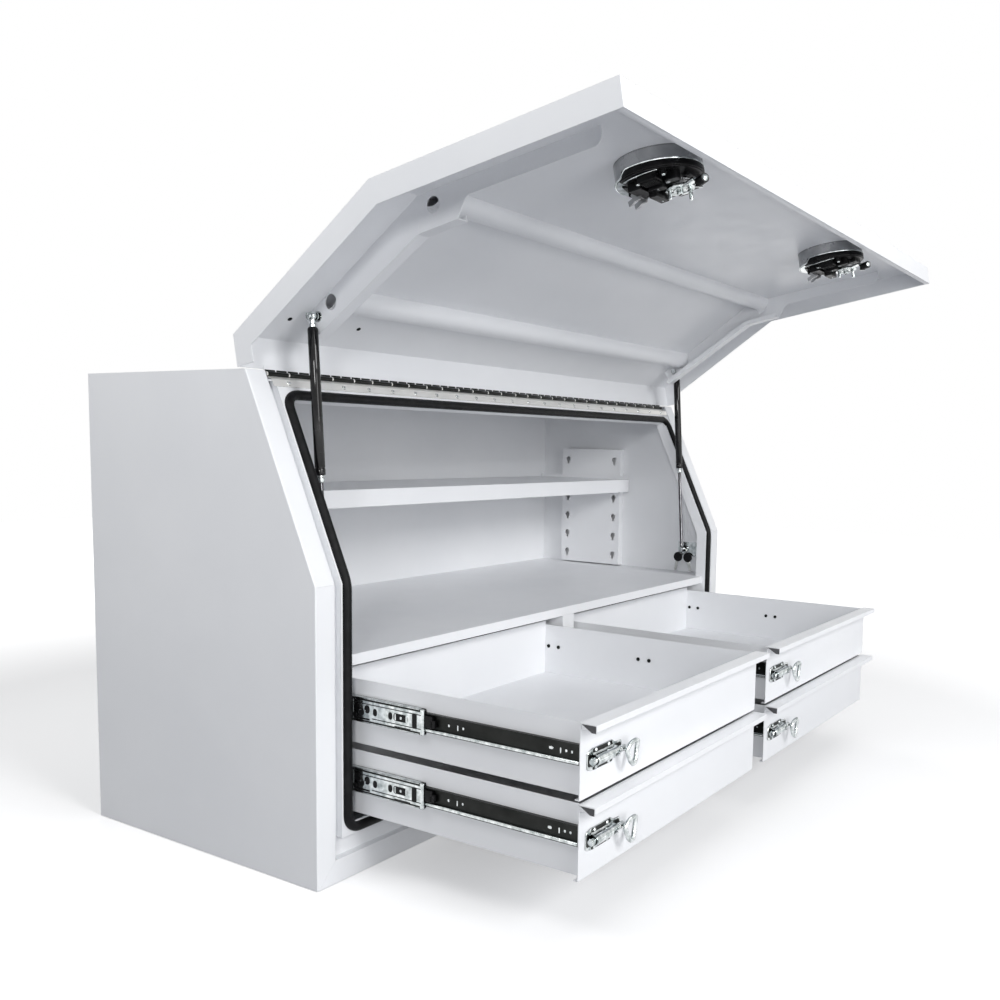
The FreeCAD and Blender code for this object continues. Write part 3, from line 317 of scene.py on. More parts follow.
FINISHES = (
    PowderCoat(),
    Rubber(),
    Steel("hinge_steel", (0.88, 0.87, 0.84), (0.78, 0.77, 0.74), (0.3, 0.46), cloud=14.0, metallic=0.55,
          corner_shade_reach=0.003),
    Steel("bright_zinc", (0.8, 0.83, 0.83), (0.3, 0.34, 0.34), (0.07, 0.18), (500.0, 500.0, 60.0), 0.00004,
          90.0, corner_shade_reach=0.008),
    Steel("dish_steel", (0.44, 0.445, 0.455), (0.28, 0.285, 0.295), (0.26, 0.4), (26.0, 4.0, 26.0), 0.00002,
          24.0, metallic=0.92),
    Gloss("lock_plastic", (0.005, 0.005, 0.0055), (0.016, 0.016, 0.017), (0.22, 0.42)),
    Gloss("strut_black", (0.004, 0.004, 0.0045), (0.012, 0.012, 0.013), (0.04, 0.1), 300.0, 0.00001,
          specular=0.3),
    # Painted shade: a dark grey coat for plates laid where the hollow under a drawer's finger lip lies in
    # shade.
    Gloss("painted_shade_coat", (0.1, 0.1, 0.106), (0.16, 0.16, 0.168), (0.4, 0.6), specular=0.1),
    Steel("rod_chrome", (0.14, 0.14, 0.145), (0.08, 0.08, 0.085), (0.06, 0.14), (900.0, 900.0, 60.0),
          0.00001),
    Steel("slide_zinc", (0.03, 0.031, 0.03), (0.016, 0.017, 0.016), (0.28, 0.42), (900.0, 40.0, 900.0),
          cloud=20.0),
    Steel("key_steel", (0.68, 0.68, 0.66), (0.45, 0.45, 0.43), (0.16, 0.3)),
)


@dataclass(frozen=True)
class Lamp:
    """A square soft lamp: its place and aim, its side in metres and its power in watts."""

    name: str
    place: Place
    aim: Place
    size: float
    power: float

    def build(self) -> None:
        """Hangs the lamp."""
        data = bpy.data.lights.new(self.name, "AREA")
        data.shape = "SQUARE"
        data.size = self.size
        data.energy = self.power
        lamp = bpy.data.objects.new(self.name, data)
        lamp.location = self.place
        lamp.rotation_euler = (Vector(self.aim) - Vector(self.place)).to_track_quat("-Z", "Y").to_euler()
        bpy.context.scene.collection.objects.link(lamp)


LAMPS = (
    Lamp("front_lamp", (-1.0, -5.6, 3.2), (0.0, -0.2, 0.4), 2.2, 176.0),
    Lamp("low_lamp", (-1.3, -4.6, 0.9), (0.1, 0.0, 0.5), 1.6, 42.0),
    Lamp("top_lamp", (0.1, -1.0, 3.5), (0.0, -0.4, 0.3), 2.2, 30.0),
    Lamp("side_lamp", (-1.65, 0.15, 2.15), (-0.75, 0.05, 0.6), 0.8, 12.0),
    Lamp("back_lamp", (2.6, 4.4, 3.0), (0.0, 0.0, 0.4), 2.2, 60.0),
    Lamp("left_lamp", (-4.0, -2.45, 1.55), (-0.2, -0.3, 0.7), 0.7, 48.0),
)


@dataclass
class Studio:
    """Pale floor, white surround, soft lamps and the camera of the photograph."""

    floor_size: float = 14.0
    floor_level: float = -0.001
    floor_tone: Colour = (0.88, 0.88, 0.885)
    floor_bounce: Colour = (0.36, 0.37, 0.395)
    floor_glow: float = 0.3
    floor_grain_share: float = 0.985
    floor_gloss: tuple[float, float] = (0.1, 0.9)
    fade_start: float = 1.5
    fade_end: float = 3.2
    sky: float = 0.15
    sky_tone: Colour = (0.93, 0.96, 1.0)
    view_depth: float = 60.0
    camera_place: Place = (-1.8627, -1.5148, 0.7380)
    camera_turn: float = 57.9608
    camera_pitch: float = -5.8118
    camera_roll: float = 1.1879
    focal_pixels: float = 1012.5366
    centre_pixels: tuple[float, float] = (592.3189, 547.5123)
    image_pixels: float = 1000.0

    def floor(self) -> None:
        """Lays the floor: a square that fades to the white surround away from the object."""
        span = self.floor_size / 2.0
        corners = [(-span, -span), (span, -span), (span, span), (-span, span)]
        mesh = bpy.data.meshes.new("floor")
        mesh.from_pydata([(x, y, self.floor_level) for x, y in corners], [], [(0, 1, 2, 3)])
        floor = bpy.data.objects.new("floor", mesh)
        bpy.context.scene.collection.objects.link(floor)
        specular, roughness = self.floor_gloss
        shader = Shader("floor_paper", 0.0, specular)
        shader.surface.inputs["Roughness"].default_value = roughness
        shader.surface.inputs["Emission Color"].default_value = (1.0, 1.0, 1.0, 1.0)
        grain = shader.noise(40.0, 4.0)
        paper = shader.blend(grain, self.floor_tone,
                             tuple(self.floor_grain_share * c for c in self.floor_tone))
        rays = shader.tree.nodes.new("ShaderNodeLightPath")
        seen = shader.node("ShaderNodeMath", n0=rays.outputs["Is Camera Ray"],
                           n1=rays.outputs["Is Glossy Ray"])
        seen.operation = "MAXIMUM"
        shader.colour(shader.blend(seen.outputs[0], self.floor_bounce, paper))
        reach = shader.node("ShaderNodeVectorMath", n0=shader.place)
        reach.operation = "LENGTH"
        fade = shader.ramp(reach.outputs["Value"], self.fade_start, self.fade_end, self.floor_glow, 1.0)
        glow = shader.node("ShaderNodeMath", n0=fade, n1=seen.outputs[0])
        glow.operation = "MULTIPLY"
        shader.tree.links.new(glow.outputs[0], shader.surface.inputs["Emission Strength"])
        mesh.materials.append(shader.material)

    def surround(self) -> None:
        """Sets the sky: soft light on the object, plain white where the camera or a mirror looks at it."""
        world = bpy.data.worlds.new("surround")
        bpy.context.scene.world = world
        world.use_nodes = True
        tree = world.node_tree
        light = tree.nodes["Background"]
        light.inputs["Color"].default_value = (*self.sky_tone, 1.0)
        light.inputs["Strength"].default_value = self.sky
        white = tree.nodes.new("ShaderNodeBackground")
        white.inputs["Color"].default_value = (1.0, 1.0, 1.0, 1.0)
        rays = tree.nodes.new("ShaderNodeLightPath")
        seen = tree.nodes.new("ShaderNodeMath")
        seen.operation = "MAXIMUM"
        tree.links.new(rays.outputs["Is Camera Ray"], seen.inputs[0])
        tree.links.new(rays.outputs["Is Glossy Ray"], seen.inputs[1])
        mix = tree.nodes.new("ShaderNodeMixShader")
        tree.links.new(seen.outputs[0], mix.inputs["Fac"])
        tree.links.new(light.outputs[0], mix.inputs[1])
        tree.links.new(white.outputs[0], mix.inputs[2])
        tree.links.new(mix.outputs[0], tree.nodes["World Output"].inputs["Surface"])

    def camera(self) -> None:
        """Sets the camera by its turn, pitch and roll, as they were fitted to the photograph."""
        turn, pitch, roll = (math.radians(v) for v in (self.camera_turn, self.camera_pitch, self.camera_roll))
        forward = Vector((math.sin(turn) * math.cos(pitch), math.cos(turn) * math.cos(pitch),
                          math.sin(pitch)))
        level = Vector((math.cos(turn), -math.sin(turn), 0.0))
        upright = level.cross(forward)
        right = level * math.cos(roll) + upright * math.sin(roll)
        up = upright * math.cos(roll) - level * math.sin(roll)
        data = bpy.data.cameras.new("camera")
        data.lens = data.sensor_width * self.focal_pixels / self.image_pixels
        data.shift_x = 0.5 - self.centre_pixels[0] / self.image_pixels
        data.shift_y = self.centre_pixels[1] / self.image_pixels - 0.5
        data.clip_end = self.view_depth
        camera = bpy.data.objects.new("camera", data)
        facing = Matrix((right, up, -forward)).transposed().to_4x4()
        camera.matrix_world = Matrix.Translation(self.camera_place) @ facing
        bpy.context.scene.collection.objects.link(camera)
        bpy.context.scene.camera = camera

    def build(self) -> None:
        """Sets up the floor, the surround, the lamps and the camera."""
        bpy.context.scene.view_settings.view_transform = "Standard"
        self.floor()
        self.surround()
        for lamp in LAMPS:
            lamp.build()
        self.camera()


@dataclass
class Dressing:
    """Gives every CAD node the finish of its slot in the record."""

    materials: dict[str, bpy.types.Material] = field(default_factory=dict)

    def build(self) -> None:
        """Makes each finish once, under the plain name of its slot, and puts it on the nodes."""
        for plain in list(bpy.data.materials):
            plain.name = "plain_" + plain.name
        for finish in FINISHES:
            self.materials[finish.name] = finish.make()
        for part in frame["record"]["subparts"]:
            node = frame["nodes"].get(part["node"])
            if node is None:
                continue
            node.data.materials.clear()
            node.data.materials.append(self.materials[part["material_slot"]])


def ring(count: int, start: float = 0.0) -> Array:
    """Points of a unit circle, counter-clockwise: cosine and sine of evenly spaced angles.

    Args:
        count: how many points.
        start: the first angle.

    Returns:
        An array of (count, 2).
    """
    angle = start + np.arange(count) * TURN / count
    return np.stack([np.cos(angle), np.sin(angle)], axis=1)


def rounded(width: float, height: float, radius: float, steps: int = 5) -> Array:
    """A centred rectangle with round corners, counter-clockwise: a quarter circle about each corner's centre.

    Args:
        width: size along the first axis.
        height: size along the second axis.
        radius: the corners' radius.
        steps: points on each corner.

    Returns:
        An array of (4 * steps, 2).
    """
    quarter = np.linspace(0.0, TURN / 4.0, steps)
    angle = (np.arange(4)[:, None] * TURN / 4.0 + quarter[None, :]).ravel()
    signs = np.repeat(np.array([(1, 1), (-1, 1), (-1, -1), (1, -1)], float), steps, axis=0)
    centre = signs * np.array([width / 2.0 - radius, height / 2.0 - radius])
    return centre + radius * np.stack([np.cos(angle), np.sin(angle)], axis=1)


def inset(outline: Array, distance: float) -> Array:
    """Moves each corner of a counter-clockwise outline inwards along the mitre of its two edges.

    Args:
        outline: an array of (n, 2).
        distance: how far each edge moves.

    Returns:
        An array of (n, 2).
    """
    after = np.roll(outline, -1, axis=0) - outline
    after = after / np.maximum(np.linalg.norm(after, axis=1, keepdims=True), 1e-9)
    normal = np.stack([-after[:, 1], after[:, 0]], axis=1)
    before = np.roll(normal, 1, axis=0)
    share = np.maximum(1.0 + np.sum(before * normal, axis=1, keepdims=True), 0.3)
    return outline + distance * (before + normal) / share


def lid_open(points: Array) -> Array:
    """Turns points of the closed lid about the hinge to the open pose: y and z by the open angle.

    Args:
        points: an array of (n, 3) in millimetres.

    Returns:
        The turned array.
    """
    y, z = points[:, 1] - HINGE_Y, points[:, 2] - HINGE_Z
    cos_open, sin_open = math.cos(OPEN_ANGLE), math.sin(OPEN_ANGLE)
    return np.stack([points[:, 0], HINGE_Y + cos_open * y - sin_open * z,
                     HINGE_Z + sin_open * y + cos_open * z], axis=1)


def spun(points: Array, x: float, z: float, degrees: float) -> Array:
    """Turns points about a line along Y through (x, z).

    Args:
        points: an array of (n, 3).
        x: the line's X.
        z: the line's Z.
        degrees: the angle, from Z towards X.

    Returns:
        The turned array.
    """
    cos_turn, sin_turn = math.cos(math.radians(degrees)), math.sin(math.radians(degrees))
    dx, dz = points[:, 0] - x, points[:, 2] - z
    return np.stack([x + cos_turn * dx + sin_turn * dz, points[:, 1], z - sin_turn * dx + cos_turn * dz],
                    axis=1)


class Form:
    """A mesh gathered from grids of points, in millimetres."""

    def __init__(self) -> None:
        """Starts with no points."""
        self.points: list[Array] = []
        self.faces: list[list[int]] = []
        self.count = 0

    def loft(self, rows: Array, closed: bool = False, caps: bool = True) -> None:
        """Joins closed loops of points row by row, so a point depends on its row and its place in the loop.

        Args:
            rows: an array of (rows, columns, 3), each loop counter-clockwise about the way the rows go.
            closed: joins the last row to the first.
            caps: closes both ends with one flat face.
        """
        row_count, column_count = rows.shape[:2]
        index = self.count + np.arange(row_count * column_count).reshape(row_count, column_count)
        right = np.roll(index, -1, axis=1)
        low, low_right, high, high_right = index[:-1], right[:-1], index[1:], right[1:]
        if closed:
            low, low_right = index, right
            high, high_right = np.roll(index, -1, axis=0), np.roll(right, -1, axis=0)
        self.faces.extend(np.stack([low, low_right, high_right, high], axis=-1).reshape(-1, 4).tolist())
        if caps and not closed:
            self.faces.append(index[0][::-1].tolist())
            self.faces.append(index[-1].tolist())
        self.points.append(rows.reshape(-1, 3))
        self.count += row_count * column_count

    def slab(self, outline: Array, origin: tuple[float, ...], u: tuple[float, ...], v: tuple[float, ...],
             depth: float, bevel: float = 0.4) -> None:
        """A flat plate with broken edges: the outline at four depths, the outer two inset by the bevel.

        Args:
            outline: (n, 2) in the directions u and v, either way round.
            origin: the place of the outline's zero.
            u: unit direction of the first coordinate.
            v: unit direction of the second coordinate; the plate grows along u x v.
            depth: its thickness.
            bevel: the broken edge.
        """
        u, v = np.array(u, float), np.array(v, float)
        after = np.roll(outline, -1, axis=0)
        if np.sum(outline[:, 0] * after[:, 1] - outline[:, 1] * after[:, 0]) < 0.0:
            outline = outline[::-1]
        small = inset(outline, bevel)
        flat = np.stack([small, outline, outline, small])
        lift = np.array([0.0, bevel, depth - bevel, depth])
        rows = np.array(origin, float) + flat[..., :1] * u + flat[..., 1:] * v
        self.loft(rows + lift[:, None, None] * np.cross(u, v))

    def turned(self, profile: Array, origin: tuple[float, ...], axis: tuple[float, ...],
               count: int = 24) -> None:
        """A surface of revolution: each profile point (radius, height) is carried round the axis.

        Args:
            profile: (n, 2), from one pole to the other; a first or last radius of zero closes it.
            origin: the point of height zero.
            axis: unit direction of the heights.
            count: points round the axis.
        """
        axis = np.array(axis, float)
        side = np.cross(axis, np.array([0.0, 0.0, 1.0]) if abs(axis[2]) < 0.9 else np.array([1.0, 0.0, 0.0]))
        side = side / np.linalg.norm(side)
        round_unit = ring(count)
        circle = round_unit[:, :1] * side + round_unit[:, 1:] * np.cross(axis, side)
        profile = np.array(profile, float)
        radius, height = profile[:, 0][:, None, None], profile[:, 1][:, None, None]
        self.loft(np.array(origin, float) + radius * circle + height * axis, caps=False)

    def carried(self, profile: Array, path: Array, normal: Array, closed: bool = False) -> None:
        """Carries a profile along a path, square to the path's tangent, with its second axis on the normal.

        Args:
            profile: counter-clockwise (m, 2).
            path: (n, 3).
            normal: (n, 3) or (3,), roughly square to the path.
            closed: joins the last row to the first.
        """
        if closed:
            tangent = np.roll(path, -1, axis=0) - np.roll(path, 1, axis=0)
        else:
            tangent = np.gradient(path, axis=0)
        tangent = tangent / np.linalg.norm(tangent, axis=1, keepdims=True)
        normal = np.broadcast_to(np.array(normal, float), path.shape)
        side = np.cross(normal, tangent)
        side = side / np.linalg.norm(side, axis=1, keepdims=True)
        upright = np.cross(tangent, side)
        across, over = profile[None, :, :1], profile[None, :, 1:]
        self.loft(path[:, None, :] + across * side[:, None, :] + over * upright[:, None, :], closed=closed)

    def dome(self, centre: tuple[float, ...], axis: tuple[float, ...], radius: float, height: float) -> None:
        """A rivet head: radius times cosine, height times sine of a quarter turn, closed by a flat foot.

        Args:
            centre: the middle of its foot.
            axis: unit direction of its height.
            radius: the foot's radius.
            height: its height.
        """
        angle = np.linspace(0.0, TURN / 4.0, 6)
        profile = np.stack([radius * np.cos(angle), height * np.sin(angle)], axis=1)
        self.turned(np.vstack([[0.0, -0.2], [radius, -0.2], profile]), centre, axis, 16)

    def join(self, other: "Form") -> None:
        """Takes in another form's points and faces."""
        self.faces.extend([[index + self.count for index in face] for face in other.faces])
        self.points.extend(other.points)
        self.count += other.count

    def build(self, name: str, slot: str, body: str, placed: Callable[[Array], Array] | None = None,
              stands_for: tuple[str, ...] = ()) -> bpy.types.Object:
        """Makes the object, in metres, rides it on its body and gives it its finish.

        Args:
            name: the piece's name.
            slot: the finish, which is the record's material slot where the record has it.
            body: the body that it rides on.
            placed: turns the points from where they were drawn to their place at rest.
            stands_for: CAD nodes that the piece replaces.

        Returns:
            The new object.
        """
        points = np.vstack(self.points)
        if placed is not None:
            points = placed(points)
        mesh = bpy.data.meshes.new(name)
        mesh.from_pydata((points * MM).tolist(), [], self.faces)
        shell = bmesh.new()
        shell.from_mesh(mesh)
        bmesh.ops.remove_doubles(shell, verts=shell.verts, dist=MERGE_DISTANCE)
        bmesh.ops.dissolve_degenerate(shell, edges=shell.edges, dist=MERGE_DISTANCE)
        bmesh.ops.recalc_face_normals(shell, faces=shell.faces)
        shell.to_mesh(mesh)
        shell.free()
        mesh.polygons.foreach_set("use_smooth", [True] * len(mesh.polygons))
        mesh.set_sharp_from_angle(angle=SHARP_ANGLE)
        mesh.materials.append(bpy.data.materials[slot])
        piece = bpy.data.objects.new(name, mesh)
        bpy.context.scene.collection.objects.link(piece)
        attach(piece, body)
        if stands_for:
            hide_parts(*stands_for)
        log.info("%s: %d faces on %s", name, len(mesh.polygons), body)
        return piece


@dataclass
class DoorSeal:
    """Bulb seal round the opening of the front frame."""

    half_span: float = 680.5
    low_height: float = 84.5
    high_height: float = 810.5
    corner_radius: float = 26.0
    knee_radius: float = 60.0
    width: float = 16.6
    height: float = 9.3
    seat: float = 1.6
    step: float = 6.0

    def section(self) -> Array:
        """A flat seat with a round bulb on it: half an ellipse on two short sides."""
        angle = np.linspace(0.0, TURN / 2.0, 13)
        bulb = np.stack([0.5 * self.width * np.cos(angle),
                         self.seat + (self.height - self.seat) * np.sin(angle)], axis=1)
        half = self.width / 2.0
        return np.vstack([[half, -1.6], [half, 0.6 * self.seat], bulb, [-half, 0.6 * self.seat],
                          [-half, -1.6]])

    def plan(self) -> Array:
        """The seal's middle line as (x, height along the front), a rectangle with round corners."""
        rise = (self.high_height - KNEE) / math.sin(SLOPE)
        low = self.low_height - KNEE
        middle = (rise + low) / 2.0
        outline = rounded(2.0 * self.half_span, rise - low, self.corner_radius, 10) + np.array([0.0, middle])
        ends = np.vstack([outline, outline[:1]])
        length = np.concatenate([[0.0], np.cumsum(np.linalg.norm(np.diff(ends, axis=0), axis=1))])
        places = np.union1d(np.arange(0.0, length[-1], self.step), length[:-1])
        places = places[np.concatenate([[True], np.diff(places) > 0.2])]
        return np.stack([np.interp(places, length, ends[:, 0]), np.interp(places, length, ends[:, 1])],
                        axis=1)

    def on_front(self, plan: Array) -> tuple[Array, Array]:
        """Lays plan points on the front: straight below the knee, an arc over it, then the slope.

        Args:
            plan: (n, 2) of x and length from the knee.

        Returns:
            The places and the outward normals, each (n, 3).
        """
        turn = TURN / 4.0 - SLOPE
        reach = self.knee_radius * math.tan(turn / 2.0)
        arc = self.knee_radius * turn
        along = plan[:, 1]
        share = np.clip((along + arc / 2.0) / arc, 0.0, 1.0)
        lean = share * turn
        before = np.minimum(along + arc / 2.0, 0.0)
        after = np.maximum(along - arc / 2.0, 0.0)
        y = FRONT + self.knee_radius * (1.0 - np.cos(lean)) + after * math.sin(turn)
        z = KNEE - reach + before + self.knee_radius * np.sin(lean) + after * math.cos(turn)
        places = np.stack([plan[:, 0], y, z], axis=1)
        normals = np.stack([np.zeros_like(y), -np.cos(lean), np.sin(lean)], axis=1)
        return places, normals

    def build(self) -> None:
        """Sweeps the section round the frame."""
        places, normals = self.on_front(self.plan())
        form = Form()
        form.carried(self.section(), places, normals, closed=True)
        form.build("bulb_seal", "seal_rubber", "cabinet", stands_for=("door_seal",))


@dataclass
class DrawerLatch:
    """Zinc bolt latch on one drawer front: riveted plate, pressed barrel, round bolt and pull loop."""

    tier: Tier
    side: Side
    left_end: float = -648.0
    low_axis: float = 157.0
    length: float = 98.0
    half_height: float = 17.0
    sheet: float = 2.0
    face: float = -752.0
    barrel_radius: float = 8.0
    barrel_bore: float = 5.9
    barrel_start: float = 12.0
    barrel_end: float = 72.0
    slot_start: float = 58.0
    pinch: float = 42.0
    foot_flare: float = 10.4
    axis_rise: float = 8.0
    bolt_radius: float = 5.4
    bolt_length: float = 96.0
    loop_wire: float = 3.7
    loop_scale: float = 0.86
    loop_lift: float = 12.8
    stem_radius: float = 2.6

    def place(self) -> tuple[float, float, float]:
        """Left end of the plate, the bolt's axis Y and its height."""
        return self.left_end + self.side.column, self.face - self.axis_rise, self.low_axis + self.tier.value

    def plate(self) -> Form:
        """The plate with its narrow right end, four rivets and the barrel, open in front at its right end."""
        x, _, z = self.place()
        form = Form()
        h = self.half_height
        outline = np.array([(0, -11), (3, -14), (14, -h), (68, -h), (76, -12), (96, -10.5),
                            (self.length, -8.5), (self.length, 8.5),
                            (96, 10.5), (78, 12), (70, h), (14, h), (3, 14), (0, 11)], float)
        form.slab(outline, (x, self.face, z), RIGHTWARD, UP, self.sheet, 0.7)
        for sign in (-1.0, 1.0):
            for across in (22.0, 58.0):
                form.dome((x + across, self.face - self.sheet - 0.7, z + sign * 13.0), (0, -1, 0), 3.5, 2.2)
        angle = np.linspace(0.0, TURN / 2.0, 15)
        outer = np.stack([self.barrel_radius * np.cos(angle), -self.barrel_radius * np.sin(angle)], axis=1)
        inner = np.stack([self.barrel_bore * np.cos(angle), -self.barrel_bore * np.sin(angle)], axis=1)[::-1]
        foot = self.axis_rise - self.sheet
        flare = self.foot_flare
        arch = np.vstack([[flare, foot - 0.2], [flare, foot - 1.6], [self.barrel_radius, foot - 2.6], outer,
                          [-self.barrel_radius, foot - 2.6], [-flare, foot - 1.6], [-flare, foot - 0.2],
                          [-self.barrel_bore, foot - 0.2], inner, [self.barrel_bore, foot - 0.2]])
        self.pressed(form, arch, self.barrel_start, self.slot_start)
        side_outer, side_inner = outer[:6], inner[-6:]
        for sign in (-1.0, 1.0):
            shell = np.vstack([[flare, foot - 0.2], [flare, foot - 1.6], [self.barrel_radius, foot - 2.6],
                               side_outer,
                               side_inner, [self.barrel_bore, foot - 0.2]])
            self.pressed(form, shell * np.array([sign, 1.0]), self.slot_start - 0.1, self.barrel_end)
        return form

    def pressed(self, form: Form, outline: Array, first: float, last: float) -> None:
        """Draws an outline of the barrel along X: bell curves swell its ends and pinch its middle.

        Args:
            form: takes the shell.
            outline: (m, 2) of height and depth about the bolt's axis.
            first: where it starts, from the plate's left end.
            last: where it ends.
        """
        x, axis_y, z = self.place()
        span = np.linspace(first, last, 25)
        places = (self.barrel_start, self.pinch, self.barrel_end)
        start, middle, end = (np.exp(-((span - place) / 2.6) ** 2) for place in places)
        swell = 1.0 + 0.08 * start + 0.08 * end - 0.04 * middle
        rows = np.stack([np.broadcast_to(x + span[:, None], (25, len(outline))),
                         axis_y + outline[None, :, 1] * swell[:, None],
                         z + outline[None, :, 0] * swell[:, None]], axis=-1)
        form.loft(rows)

    def shade(self) -> Form:
        """Dark pads: painted shade of the keeper hole round the bolt's tip and of the recessed flanges beside
        the barrel, and the dark block at the right end.
        """
        x, _, z = self.place()
        form = Form()
        face = self.face - self.sheet + 0.2
        # Painted shade of the keeper hole round the bolt's tip.
        form.slab(rounded(9.0, 19.0, 4.0, 6), (x + 6.0, face, z), RIGHTWARD, UP, 1.1, 0.4)
        # Painted shade on the recessed flanges beside the barrel.
        for sign in (-1.0, 1.0):
            form.slab(rounded(54.0, 5.6, 2.2, 4), (x + 42.0, face, z + sign * 13.4), RIGHTWARD, UP, 1.0, 0.4)
        form.slab(rounded(17.0, 17.0, 3.0, 5), (x + 86.0, face, z), RIGHTWARD, UP, 1.2, 0.5)
        return form

    def bolt(self) -> Form:
        """The round bolt with a broken tip, a turned groove and the bent pull loop at its right end."""
        x, axis_y, z = self.place()
        form = Form()
        r = self.bolt_radius
        end = self.bolt_length
        profile = [(0, 0), (r - 1.0, 0), (r, 1.0), (r, 73.0), (r - 1.2, 73.8), (r - 1.2, 79.0), (r, 80.0),
                   (r - 0.6, end - 2.0), (r - 2.0, end), (0, end)]
        form.turned(np.array(profile), (x + 2.0, axis_y, z), (1, 0, 0), 24)
        corners = np.array([(0, 4), (12, 12), (26, 14), (34, 12), (35, 3), (34, -10), (30, -20), (23, -28),
                            (16, -28), (9, -20), (2, -6)], float)
        loop = self.loop_scale * self.smooth(corners, 8)
        round_loop = np.linspace(0.0, TURN, len(loop), endpoint=False)
        lift = -self.loop_lift - 2.0 * np.sin(round_loop) ** 2
        path = np.stack([x + 82.0 + loop[:, 0], axis_y + lift, z + loop[:, 1]], axis=1)
        form.carried(self.loop_wire * ring(12), path, (0.0, -1.0, 0.0), closed=True)
        stem = np.array([(93.2, 0.0, 0.0), (93.2, -6.0, 0.0), (93.2, -9.6, 1.0), (92.4, -12.8, 9.0)])
        form.carried(self.stem_radius * ring(12), stem + np.array(self.place()), (1.0, 0.0, 0.0))
        return form

    @staticmethod
    def smooth(corners: Array, steps: int) -> Array:
        """A closed loop through corners: the cubic that eases between the middles of neighbouring edges.

        Args:
            corners: (n, 2).
            steps: points for each corner.

        Returns:
            An array of (n * steps, 2).
        """
        before = (np.roll(corners, 1, axis=0) + corners) / 2.0
        after = (np.roll(corners, -1, axis=0) + corners) / 2.0
        t = np.linspace(0.0, 1.0, steps, endpoint=False)[None, :, None]
        curve = (1 - t) ** 2 * before[:, None] + 2 * t * (1 - t) * corners[:, None] + t ** 2 * after[:, None]
        return curve.reshape(-1, 2)

    def build(self) -> None:
        """Makes the plate and its dark pads, mostly painted shade, on the drawer and the bolt on its own
        body.
        """
        tag = f"_{self.tier.word}_{self.side.word}"
        self.plate().build("latch_plate_pressed" + tag, "bright_zinc", "drawer" + tag,
                           stands_for=("latch_plate" + tag,))
        self.shade().build("latch_shade_pads" + tag, "slide_zinc", "drawer" + tag)
        self.bolt().build("latch_bolt_round" + tag, "bright_zinc", "latch_bolt" + tag,
                          stands_for=("latch_bolt" + tag,))


